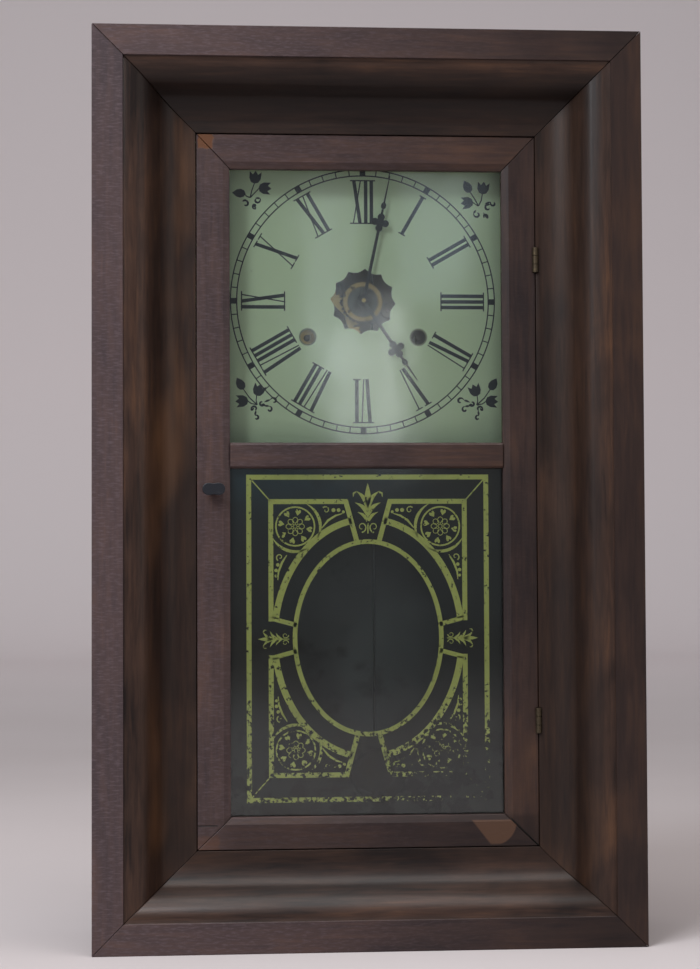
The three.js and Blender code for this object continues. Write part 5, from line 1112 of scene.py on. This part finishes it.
class CLOCK_OT_cords(bpy.types.Operator):
    """Makes the two weight cords: each a running length on the case and a hanging length"""

    bl_idname = "clock.cords"
    bl_label = "Cords"

    def execute(self, context):
        for train, side in (("time", 1), ("strike", -1)):
            running = cord_mesh(running_route(side), f"{train}_running_cord", 0.6 * MM)
            settle(running, "case")
            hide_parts(f"{train}_cord")

            low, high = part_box(f"{train}_cord_fall")
            x = middle(f"{train}_cord_fall", 0)
            top, bottom = high.z, low.z
            hanging = cord_mesh([(x, CORD_PLANE, top), (x, CORD_PLANE, bottom)],
                                f"{train}_hanging_cord", 0.8 * MM)
            settle(hanging, "case")
            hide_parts(f"{train}_cord_fall")
            lift = next(j for j in frame["joints"] if j["name"] == f"{train}_weight_lift")
            travel = lift["range_m"][1]
            (top - bottom - travel) / (top - bottom)
            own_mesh(hanging)
        return {"FINISHED"}


# ---------------------------------------------------------------- case

class CLOCK_OT_case(bpy.types.Operator):
    """Veneers the ogee rails and the sides, and finishes the pine boards inside"""

    bl_idname = "clock.case"
    bl_label = "Case"

    def execute(self, context):
        ease = context.scene.clock_case.edge_ease
        for side, grain, seed in (("left", "Z", 0.3), ("right", "Z", 1.1),
                                  ("top", "X", 0.8), ("bottom", "X", 2.0)):
            stand_in(f"ogee_rail_{side}", f"veneered_rail_{side}",
                     finish_once(mahogany, grain, seed), ease, 25.0)
        for side, seed in (("left", 3.1), ("right", 3.9)):
            stand_in(f"case_side_{side}", f"veneered_side_{side}",
                     finish_once(mahogany, "Z", seed), ease)
        for node, grain, seed in (
                ("case_top_board", "X", 1.3), ("case_bottom_board", "X", 2.3),
                ("backboard", "Z", 0.6), ("channel_board_left", "Z", 1.7),
                ("channel_board_right", "Z", 2.7), ("seat_board", "X", 3.3)):
            stand_in(node, f"pine_{node}", finish_once(pine, grain, seed), ease)
        for side in ("left", "right"):
            stand_in(f"pulley_cover_{side}", f"tin_cover_{side}", finish_once(tinplate),
                     0.0002)
        return {"FINISHED"}


SHEET_HALF_WIDTH = 0.098
SHEET_LOW = 0.118
SHEET_HIGH = 0.340
SHEET_TEAR = 0.0016
SHEET_STEPS = 40


class CLOCK_OT_paper(bpy.types.Operator):
    """Pastes the plain browned sheet on the backboard"""

    bl_idname = "clock.paper"
    bl_label = "Paper"

    def execute(self, context):
        half, low, high = SHEET_HALF_WIDTH, SHEET_LOW, SHEET_HIGH
        outline = []
        for i in range(SHEET_STEPS + 1):
            t = i / SHEET_STEPS
            torn = SHEET_TEAR * math.sin(37 * t) * math.cos(11 * t)
            outline.append((-half + 2 * half * t, low + torn))
        outline += [(half, high), (-half, high)]
        mesh = bmesh.new()
        add_slab(mesh, outline, BACKBOARD_FACE - 0.25 * MM, BACKBOARD_FACE - 0.05 * MM)
        sheet = object_of(mesh, "plain_sheet", finish_once(plain_paper))
        settle(sheet, "case")
        return {"FINISHED"}


# ---------------------------------------------------------------- door

class CLOCK_OT_door(bpy.types.Operator):
    """Veneers the door, and finishes its hinges and its catch"""

    bl_idname = "clock.door"
    bl_label = "Door"

    def execute(self, context):
        ease = context.scene.clock_case.edge_ease
        for node, grain, seed in (
                ("door_stile_left", "Z", 0.5), ("door_stile_right", "Z", 2.2),
                ("door_rail_top", "X", 1.2), ("door_rail_middle", "X", 0.4),
                ("door_rail_bottom", "X", 1.9)):
            stand_in(node, f"veneered_{node}", finish_once(door_mahogany, grain, seed),
                     ease)
        for height in ("upper", "lower"):
            for leaf in ("case", "door"):
                node = f"{height}_hinge_{leaf}_leaf"
                stand_in(node, f"brass_{node}", finish_once(tarnished_brass), 0.0002)
        stand_in("catch_knob", "black_catch_knob", finish_once(blackened_steel),
                 0.0004, 50.0)
        stand_in("catch_tongue", "steel_catch_tongue", finish_once(steel), 0.0002)
        return {"FINISHED"}


class CLOCK_OT_panes(bpy.types.Operator):
    """Glazes the door with thin clear glass"""

    bl_idname = "clock.panes"
    bl_label = "Panes"

    def execute(self, context):
        for node in ("dial_glass", "tablet_glass"):
            finish_node(node, finish_once(clear_glass))
        return {"FINISHED"}


# ---------------------------------------------------------------- tablet painting

# Behind the pane, in millimetres: front and back of the gold, front and back of the ground.
PAINT_DEPTHS = (0.04, 0.09, 0.12, 0.20)
QUARTERS = [(across, up) for across in (-1, 1) for up in (-1, 1)]
# Sides of the keystones in one quarter, in metres from the middle of the painting.
SIDE_KEY = ((0.0690, 0.0140), (0.0520, 0.0094))
TOP_KEY = ((0.0160, 0.0994), (0.0082, 0.0702))
SPANDREL_ARCS = (((0.0335, 0.0795), (0.0290, 0.0850), (0.0235, 0.0885), (0.0185, 0.0900)),
                 ((0.0590, 0.0600), (0.0625, 0.0545), (0.0650, 0.0480), (0.0655, 0.0420)))
# Dots (x, z, radius) and scrolls (x, z, first angle) beside each roundel.
DOTS = ((0.0250, 0.0925, 0.0015), (0.0213, 0.0925, 0.0014), (0.0178, 0.0912, 0.0011),
        (0.0655, 0.0530, 0.0013), (0.0668, 0.0490, 0.0013), (0.0668, 0.0450, 0.0011))
SCROLLS = ((0.0305, 0.0925, 40.0), (0.0640, 0.0585, -60.0))
# Half of a palmette, in millimetres from its foot: leaves (root, tip, width, bend).
PALMETTE_LEAVES = (((0.6, 19.0), (8.6, 33.0), 3.4, 2.4), ((0.5, 14.5), (9.6, 24.5), 3.0, 2.2),
                   ((0.4, 10.0), (7.6, 17.6), 2.4, 1.6))
PALMETTE_TIP = ((8.4, 32.0), (10.4, 31.2), (10.6, 28.6))
DART = ((0.0, 8.0), (2.0, 10.6), (1.9, 12.0), (0.9, 12.5), (0.0, 11.4), (-0.9, 12.5),
        (-1.9, 12.0), (-2.0, 10.6))


def mirrored(points, centre, across, up):
    """Points given from the middle of the painting, put in one of its quarters."""
    return [(centre[0] + across * x, centre[1] + up * z) for x, z in points]


class CLOCK_OT_tablet(bpy.types.Operator):
    """Paints the lower glass from behind: gold lines and ornament over a black ground"""

    bl_idname = "clock.tablet"
    bl_label = "Tablet painting"

    def execute(self, context):
        looks = context.scene.clock_tablet
        self.centre = tuple(looks.centre)
        self.gold_front, self.gold_back, self.ground_front, self.ground_back = (
            PANE_BACK + depth * MM for depth in PAINT_DEPTHS)
        self.gold = finish_once(tablet_gold)
        self.paint_ground(looks)
        mesh = bmesh.new()
        self.draw_frames(mesh, looks)
        for across, up in QUARTERS:
            self.draw_corner(mesh, looks, across, up)
        top = (self.centre[0], self.centre[1] + looks.inner_oval[1] + 0.0045)
        self.draw_palmette(mesh, top, 90.0, 1.0)
        for side, angle in ((-1, 180.0), (1, 0.0)):
            root = (self.centre[0] + side * (looks.inner_oval[0] + 0.0035), self.centre[1] - 0.0006)
            self.draw_palmette(mesh, root, angle, 0.62)
        settle(object_of(mesh, "tablet_gold_lines", self.gold), "door")
        for across, up in QUARTERS:
            self.paint_roundel(looks, across, up)
        return {"FINISHED"}

    def line(self, mesh, points, width, closed=False):
        add_line(mesh, points, width, self.gold_front, self.gold_back, closed)

    def shape(self, mesh, outline):
        add_slab(mesh, outline, self.gold_front, self.gold_back)

    def paint_ground(self, looks):
        """The black ground, with the clear oval left out."""
        margin = 0.2 * MM
        left, right = PANE_LOW.x + margin, PANE_HIGH.x - margin
        low, high = PANE_LOW.z + margin, PANE_HIGH.z - margin
        cx, cz = self.centre
        rx, rz = looks.inner_oval
        corners = [math.atan2(z - cz, x - cx) for x in (left, right) for z in (low, high)]
        rays = 144
        angles = sorted([2 * math.pi * i / rays - math.pi for i in range(rays)] + corners)
        inner, outer = [], []
        for angle in angles:
            c, s = math.cos(angle), math.sin(angle)
            reaches = []
            if abs(c) > 1e-9:
                reaches.append(((right if c > 0 else left) - cx) / c)
            if abs(s) > 1e-9:
                reaches.append(((high if s > 0 else low) - cz) / s)
            reach = min(reaches)
            outer.append((cx + reach * c, cz + reach * s))
            span = 1.0 / math.hypot(c / rx, s / rz)
            inner.append((cx + span * c, cz + span * s))
        mesh = bmesh.new()
        add_band(mesh, inner, outer, self.ground_front, self.ground_back, closed=True)
        settle(object_of(mesh, "tablet_ground", finish_once(tablet_ground)), "door")

    def draw_frames(self, mesh, looks):
        """The outer line, and the clear oval's own line."""
        bx, bz = looks.border
        corners = mirrored([(-bx, -bz), (bx, -bz), (bx, bz), (-bx, bz)], self.centre, 1, 1)
        self.line(mesh, corners, looks.gold_width, closed=True)
        rx, rz = looks.inner_oval
        wide = whole_oval(self.centre, (rx + 0.0006, rz + 0.0006), 120)
        self.line(mesh, wide, looks.gold_width * 0.92, closed=True)

    def draw_corner(self, mesh, looks, across, up):
        """One quarter: mitre line, panel line, oval line, keystone sides and scrolls."""
        bx, bz = looks.border
        px, pz = looks.panel
        ox, oz = looks.outer_oval
        wide, hair = looks.gold_width, looks.hair_width

        def put(points):
            return mirrored(points, self.centre, across, up)

        self.line(mesh, put([(bx - wide / 2, bz - wide / 2), (px, pz)]), hair)
        (side_x, side_z), _ = SIDE_KEY
        self.line(mesh, put([(side_x, side_z), (px, side_z), (px, pz), (TOP_KEY[0][0], pz),
                             TOP_KEY[1]]), wide)
        self.line(mesh, put(SIDE_KEY), wide * 0.9)
        start = math.degrees(math.asin(side_z / oz))
        end = math.degrees(math.acos(0.0118 / ox))
        self.line(mesh, put(oval_points((0.0, 0.0), (ox, oz), start, end, 40)), wide * 1.3)

        rx, rz = looks.roundel_place
        radius = looks.roundel_radius
        # Crescents outside the roundel, thickest in the middle and cut by the oval line.
        steps = 18
        swell = [(0.4 + 1.9 * math.sin(math.pi * i / steps)) * MM for i in range(steps + 1)]
        around = (radius + 4.2 * MM, radius + 4.2 * MM)
        for first, last in ((-28.0, 62.0), (208.0, 298.0)):
            arc = oval_points((rx, rz), around, first, last, steps + 1)
            self.line(mesh, put([(2 * rx - x, z) for x, z in arc]), swell)
        # Fine arcs that run from the roundel into the points of the spandrel.
        for points in SPANDREL_ARCS:
            self.line(mesh, put(points), [0.7 * MM, 1.6 * MM, 1.4 * MM, 0.5 * MM])
        for x, z, size in DOTS:
            self.shape(mesh, put(whole_oval((x, z), (size, size), 10)))
        # Small scrolls next to the roundel.
        for x, z, turn in SCROLLS:
            curl = []
            for i in range(12):
                angle = math.radians(turn + 32.0 * i)
                reach = 0.0028 * (1 - i / 14)
                curl.append((x + reach * math.cos(angle), z + reach * math.sin(angle)))
            self.line(mesh, put(curl), [0.0009 - 0.00004 * i for i in range(12)])

    def draw_palmette(self, mesh, root, degrees, scale):
        """A standing leaf with three pairs of side leaves and a pair of volutes."""
        turn = math.radians(degrees - 90.0)
        size = scale * MM

        def put(points):
            spots = []
            for x, z in points:
                spots.append((root[0] + size * (x * math.cos(turn) - z * math.sin(turn)),
                              root[1] + size * (x * math.sin(turn) + z * math.cos(turn))))
            return spots

        self.shape(mesh, put(leaf_outline((0.0, 21.0), (0.0, 38.5), 4.4)))
        self.line(mesh, put([(0.0, 2.0), (0.0, 23.0)]), 1.0 * size)
        for side in (-1, 1):
            for start, end, width, bend in PALMETTE_LEAVES:
                outline = leaf_outline((side * start[0], start[1]), (side * end[0], end[1]),
                                       width, side * bend)
                self.shape(mesh, put(outline))
            curl = []
            for i in range(15):
                angle = math.radians(-90.0 + 27.0 * i)
                reach = 3.9 * (1 - i / 20)
                curl.append((side * (4.4 - reach * math.cos(angle) * 0.9),
                             5.4 + reach * math.sin(angle) + 1.2))
            self.line(mesh, put(curl), [size * (1.1 - 0.05 * i) for i in range(15)])
            tip = put([(side * x, z) for x, z in PALMETTE_TIP])
            self.line(mesh, tip, [size * 1.4, size * 1.1, size * 0.5])

    def paint_roundel(self, looks, across, up):
        """Rim, eight darts and a small rosette."""
        word = f"{'upper' if up > 0 else 'lower'}_{'right' if across > 0 else 'left'}"
        rx, rz = looks.roundel_place
        centre = mirrored([(rx, rz)], self.centre, across, up)[0]
        radius = looks.roundel_radius
        mesh = bmesh.new()
        self.line(mesh, whole_oval(centre, (radius, radius), 48), looks.hair_width * 1.3, True)
        self.line(mesh, whole_oval(centre, (0.0013, 0.0013), 12), 0.0004, True)
        settle(object_of(mesh, f"roundel_{word}_rim", self.gold), "door")
        dart = [(x * MM, z * MM) for x, z in DART]
        darts = mark_object(f"roundel_{word}_darts", dart, self.gold_front, self.gold_back,
                            self.gold)
        settle(repeat_round(darts, 8, centre, self.gold, 0.2), "door")
        mesh = bmesh.new()
        self.line(mesh, oval_points((0.0, 0.0043), (0.0019, 0.0024), -50.0, 230.0, 12), 0.0005)
        self.shape(mesh, [(-0.0003, 0.0016), (0.0003, 0.0016), (0.0003, 0.0030),
                          (-0.0003, 0.0030)])
        loops = object_of(mesh, f"roundel_{word}_rosette", self.gold)
        settle(repeat_round(loops, 8, centre, self.gold), "door")


# ---------------------------------------------------------------- dial

NUMERALS = ("XII", "I", "II", "III", "IV", "V", "VI", "VII", "VIII", "IX", "X", "XI")
# A corner sprig's heads point along +u, in millimetres.
HEAD_SHAPES = {
    "tulip": [(-4.2, 0.0), (-3.4, -2.6), (-0.6, -4.2), (4.6, -4.4), (2.4, -2.0), (5.2, 0.0),
              (2.4, 2.0), (4.6, 4.4), (-0.6, 4.2), (-3.4, 2.6)],
    "bud": [(-4.6, 0.0), (-3.4, -2.3), (-0.8, -3.3), (2.2, -2.6), (5.4, 0.0), (2.2, 2.6),
            (-0.8, 3.3), (-3.4, 2.3)],
}
LOWER_HEADS = [("tulip", 83.1, -66.0, 112.0), ("bud", 96.4, -61.4, 60.0),
               ("tulip", 95.0, -73.8, -4.0)]
LOWER_CURLS = [(72.0, -73.6, 2.6, 20.0), (80.6, -75.4, 2.3, 200.0), (75.2, -79.8, 2.2, 90.0),
               (86.2, -79.6, 2.6, -30.0), (84.8, -86.0, 2.0, 60.0)]
LEFT_SHIFT = 5.8
# Side of the dial, heads (kind, x, z, heading), root and curls (x, z, radius, start).
SPRIGS = {
    "lower_right": (1, LOWER_HEADS, (84.2, -76.6), LOWER_CURLS),
    "lower_left": (-1, [(kind, x - LEFT_SHIFT, z, turn) for kind, x, z, turn in LOWER_HEADS],
                   (84.2 - LEFT_SHIFT, -76.6),
                   [(x - LEFT_SHIFT, z, reach, start) for x, z, reach, start in LOWER_CURLS]),
    "upper_right": (1, [("bud", 78.2, 85.6, 118.0), ("tulip", 89.9, 84.6, 82.0),
                        ("tulip", 78.2, 74.0, 188.0)], (86.4, 71.6),
                    [(93.6, 70.4, 2.8, 60.0), (97.4, 73.6, 2.2, 150.0), (85.2, 65.4, 2.6, 170.0),
                     (91.4, 63.6, 2.2, -40.0)]),
    "upper_left": (-1, [("tulip", 79.4, 91.0, 96.0), ("tulip", 72.6, 83.4, 184.0),
                        ("bud", 91.0, 79.6, 4.0)], (83.0, 76.4),
                   [(78.0, 74.6, 2.6, 150.0), (86.6, 71.8, 2.8, 40.0), (79.6, 70.0, 2.2, 250.0)]),
}
LETTER_SPREAD = {"I": 0.0, "V": 0.0056, "X": 0.0046}
LONE_LETTER_SPREAD = 0.0018
SERIF_REACH = 0.0015


def at_heading(points, heading):
    """Points (across, outward) from the dial's centre, turned clockwise from twelve."""
    c, s = math.cos(heading), math.sin(heading)
    return [(DIAL_CENTRE[0] + r * s + u * c, DIAL_CENTRE[1] + r * c - u * s)
            for u, r in points]


class CLOCK_OT_dial(bpy.types.Operator):
    """Paints the dial, its minute ring, numerals and corner sprigs"""

    bl_idname = "clock.dial"
    bl_label = "Dial"

    def execute(self, context):
        looks = context.scene.clock_dial
        self.front = DIAL_FACE - looks.ink_height
        self.back = DIAL_FACE - 0.00001
        self.ink = finish_once(dial_ink)
        stand_in("dial", "painted_dial", finish_once(dial_paint), 0.0001)
        self.minute_ring(looks)
        for hour, text in enumerate(NUMERALS):
            mesh = bmesh.new()
            self.numeral(mesh, looks, text, math.radians(30.0 * hour))
            settle(object_of(mesh, f"numeral_{hour or 12}", self.ink), "case")
        for word, (side, heads, root, curls) in SPRIGS.items():
            self.sprig(word, side, heads, root, curls)
        return {"FINISHED"}

    def minute_ring(self, looks):
        mesh = bmesh.new()
        for radius in (looks.ring_outer, looks.ring_inner):
            points = whole_oval(DIAL_CENTRE, (radius, radius), 180)
            add_line(mesh, points, looks.line_width, self.front, self.back, closed=True)
        settle(object_of(mesh, "minute_ring", self.ink), "case")
        low, high = looks.ring_inner, looks.ring_outer
        for name, count, half in (("minute_marks", 60, looks.line_width * 0.42),
                                  ("five_minute_blocks", 12, looks.block_width / 2)):
            outline = [(-half, low), (half, low), (half, high), (-half, high)]
            mark = mark_object(name, outline, self.front, self.back, self.ink)
            settle(repeat_round(mark, count, DIAL_CENTRE, self.ink), "case")

    def numeral(self, mesh, looks, text, angle):
        """Letters with their tops outward, side by side across the radius."""
        thick, thin = looks.thick_stroke, looks.thin_stroke
        low, high = looks.numeral_inner, looks.numeral_outer
        gap = looks.stroke_gap
        spare = LONE_LETTER_SPREAD if len(text) == 1 and text != "I" else 0.0
        widths = [thick + LETTER_SPREAD[c] + spare for c in text]
        cursor = -(sum(widths) + gap * (len(text) - 1)) / 2

        def draw(outline):
            add_slab(mesh, at_heading(outline, angle), self.front, self.back)

        def stroke(start, end, width):
            half = width / 2
            draw([(start[0] - half, start[1]), (start[0] + half, start[1]),
                  (end[0] + half, end[1]), (end[0] - half, end[1])])

        def serif(left, right, r):
            inward = -thin if r > (low + high) / 2 else thin
            draw([(left, r), (right, r), (right, r + inward), (left, r + inward)])

        for letter, width in zip(text, widths):
            left, right = cursor, cursor + width
            inner_left, inner_right = left + thick / 2, right - thick / 2
            reach = SERIF_REACH
            if letter == "I":
                middle = (left + right) / 2
                stroke((middle, low), (middle, high), thick)
                serif(left - reach, right + reach, low)
                serif(left - reach, right + reach, high)
            elif letter == "V":
                middle = (left + right) / 2
                stroke((middle - thick * 0.2, low), (inner_left, high), thick)
                stroke((middle + thick * 0.7, low), (right - thin, high), thin)
                serif(left - reach, left + thick + reach, high)
                serif(right - thin - 2 * reach, right + reach, high)
            else:
                stroke((inner_right, low), (inner_left, high), thick)
                stroke((left + thin, low), (right - thin, high), thin)
                serif(left - reach, left + thin + 2 * reach, low)
                serif(right - thick - reach, right + reach, low)
                serif(left - reach, left + thick + reach, high)
                serif(right - thin - 2 * reach, right + reach, high)
            cursor = right + gap

    def sprig(self, word, side, heads, root, curls):
        """A corner sprig: flower heads and a bud on curved stems, with curls below."""

        def put(points):
            return [(DIAL_CENTRE[0] + side * x * MM, DIAL_CENTRE[1] + z * MM) for x, z in points]

        mesh = bmesh.new()
        for kind, x, z, degrees in heads:
            turn = math.radians(degrees)
            outline = [(x + u * math.cos(turn) - v * math.sin(turn),
                        z + u * math.sin(turn) + v * math.cos(turn)) for u, v in HEAD_SHAPES[kind]]
            add_slab(mesh, put(outline), self.front, self.back)
            foot = Vector((x - 3.6 * math.cos(turn), z - 3.6 * math.sin(turn)))
            middle = foot.lerp(Vector(root), 0.5) + Vector((0.6, -0.6))
            add_line(mesh, put([foot, middle, root]), [0.7 * MM, 0.8 * MM, 1.0 * MM],
                     self.front, self.back)
        for x, z, reach, start in curls:
            points = []
            for i in range(11):
                angle = math.radians(start + 27.0 * i)
                span = reach * (1.0 - i / 16)
                points.append((x + span * math.cos(angle), z + span * math.sin(angle)))
            add_line(mesh, put(points), [(0.6 + 0.9 * math.sin(math.pi * i / 10)) * MM
                                         for i in range(11)], self.front, self.back)
            tail = leaf_outline(points[0], (points[0][0] * 0.5 + root[0] * 0.5,
                                            points[0][1] * 0.5 + root[1] * 0.5), 1.5)
            add_slab(mesh, put(tail), self.front, self.back)
        settle(object_of(mesh, f"sprig_{word}", self.ink), "case")


# Each drawn part of a hand is this much thinner than the one before, so no faces coincide.
LAYER_STEP = 0.00001


def blade_outline(right_side):
    """A blade's outline from its right side, mirrored to the left."""
    first, *rest = right_side
    return [(-first[0], first[1]), first, *rest] + [(-u, r) for u, r in reversed(rest)]


class CLOCK_OT_hands(bpy.types.Operator):
    """Makes the blackened hands, each with its cross and its bead"""

    bl_idname = "clock.hands"
    bl_label = "Hands"

    def execute(self, context):
        looks = context.scene.clock_dial
        for node, heading, reach, cross, bead in (
                ("minute_hand", looks.minute_heading, looks.minute_reach, 0.0590, 0.0717),
                ("hour_hand", looks.hour_heading, looks.hour_reach, 0.0430, 0.0545)):
            self.hand(node, heading, reach, cross, bead)
        return {"FINISHED"}

    def hand(self, node, heading, reach, cross, bead):
        """A tapering blade over a round boss, the four lobes of the cross, and the bead."""
        low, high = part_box(node)
        mesh = bmesh.new()
        blade = [(1.3 * MM, 0.0), (1.0 * MM, cross), (0.7 * MM, bead), (0.25 * MM, reach)]
        parts = [whole_oval((0.0, 0.0), (4.6 * MM, 4.6 * MM), 28),
                 blade_outline(blade)]
        for u, r in ((-4.0, 0.0), (4.0, 0.0), (0.0, -4.2), (0.0, 4.2)):
            parts.append(whole_oval((u * MM, cross + r * MM), (2.6 * MM, 2.6 * MM), 18))
        parts.append(whole_oval((0.0, cross), (3.4 * MM, 3.4 * MM), 18))
        parts.append(whole_oval((0.0, bead), (1.9 * MM, 2.6 * MM), 18))
        for layer, outline in enumerate(parts):
            inset = layer * LAYER_STEP
            add_slab(mesh, at_heading(outline, heading), low.y + inset, high.y - inset)
        made = object_of(mesh, f"black_{node}", finish_once(blackened_steel))
        smooth_sides(made)
        settle(made, body_of_node(node))
        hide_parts(node)


# ---------------------------------------------------------------- movement, weights and gong

class CLOCK_OT_movement(bpy.types.Operator):
    """Finishes the plates, wheels, levers, pendulum, weights, pulleys and gong"""

    bl_idname = "clock.movement"
    bl_label = "Movement"

    def execute(self, context):
        for node in ("time_great_wheel", "centre_arbor", "third_wheel", "escape_wheel",
                     "strike_great_wheel", "strike_pin_wheel",
                     "strike_locking_wheel", "strike_fly", "count_wheel"):
            stand_in(node, f"brass_{node}", finish_once(brass), 0.0, 40.0)
        for node in ("front_plate", "back_plate", "minute_wheel", "time_drum", "strike_drum"):
            stand_in(node, f"brass_{node}", finish_once(tarnished_brass), 0.0, 40.0)
        stand_in("hour_wheel", "brass_hour_wheel", finish_once(hour_wheel_brass), 0.0,
                 40.0)
        stand_in("pendulum_bob", "brass_pendulum_bob", finish_once(brass), 0.0, 60.0)
        for node in ("verge_and_crutch", "pendulum_rod", "hammer", "lock_lever", "gong_coil"):
            stand_in(node, f"steel_{node}", finish_once(steel), 0.0, 65.0)
        for train in ("time", "strike"):
            stand_in(f"{train}_weight", f"iron_{train}_weight", finish_once(cast_iron),
                     0.0012, 50.0)
            stand_in(f"{train}_pulley", f"turned_{train}_pulley", finish_once(pine, "Y", 4.1),
                     0.0, 50.0)
        stand_in("gong_base", "iron_gong_base", finish_once(cast_iron), 0.0006, 45.0)
        return {"FINISHED"}


OPERATORS = (CLOCK_OT_stage, CLOCK_OT_cords, CLOCK_OT_case, CLOCK_OT_paper, CLOCK_OT_door,
             CLOCK_OT_panes, CLOCK_OT_tablet, CLOCK_OT_dial, CLOCK_OT_hands, CLOCK_OT_movement)


class CLOCK_PT_sidebar(bpy.types.Panel):
    """Lists the clock's settings and the steps that build its looks"""

    bl_idname = "CLOCK_PT_sidebar"
    bl_label = "Ogee shelf clock"
    bl_space_type = "VIEW_3D"
    bl_region_type = "UI"
    bl_category = "Ogee Clock"

    def draw(self, context):
        for operator in OPERATORS:
            self.layout.operator(operator.bl_idname)
        for group, settings in SETTING_GROUPS.items():
            box = self.layout.box()
            box.label(text=settings.__doc__)
            for name in settings.__annotations__:
                box.prop(getattr(context.scene, group), name)


def register():
    for group, settings in SETTING_GROUPS.items():
        bpy.utils.register_class(settings)
        setattr(bpy.types.Scene, group, bpy.props.PointerProperty(type=settings))
    for operator in OPERATORS:
        bpy.utils.register_class(operator)
    bpy.utils.register_class(CLOCK_PT_sidebar)


def unregister():
    bpy.utils.unregister_class(CLOCK_PT_sidebar)
    for operator in reversed(OPERATORS):
        bpy.utils.unregister_class(operator)
    for group, settings in SETTING_GROUPS.items():
        delattr(bpy.types.Scene, group)
        bpy.utils.unregister_class(settings)


def main():
    """Dresses the clock."""
    register()
    for operator in OPERATORS:
        getattr(bpy.ops.clock, operator.bl_idname.removeprefix("clock."))()


if __name__ == "__main__":
    main()
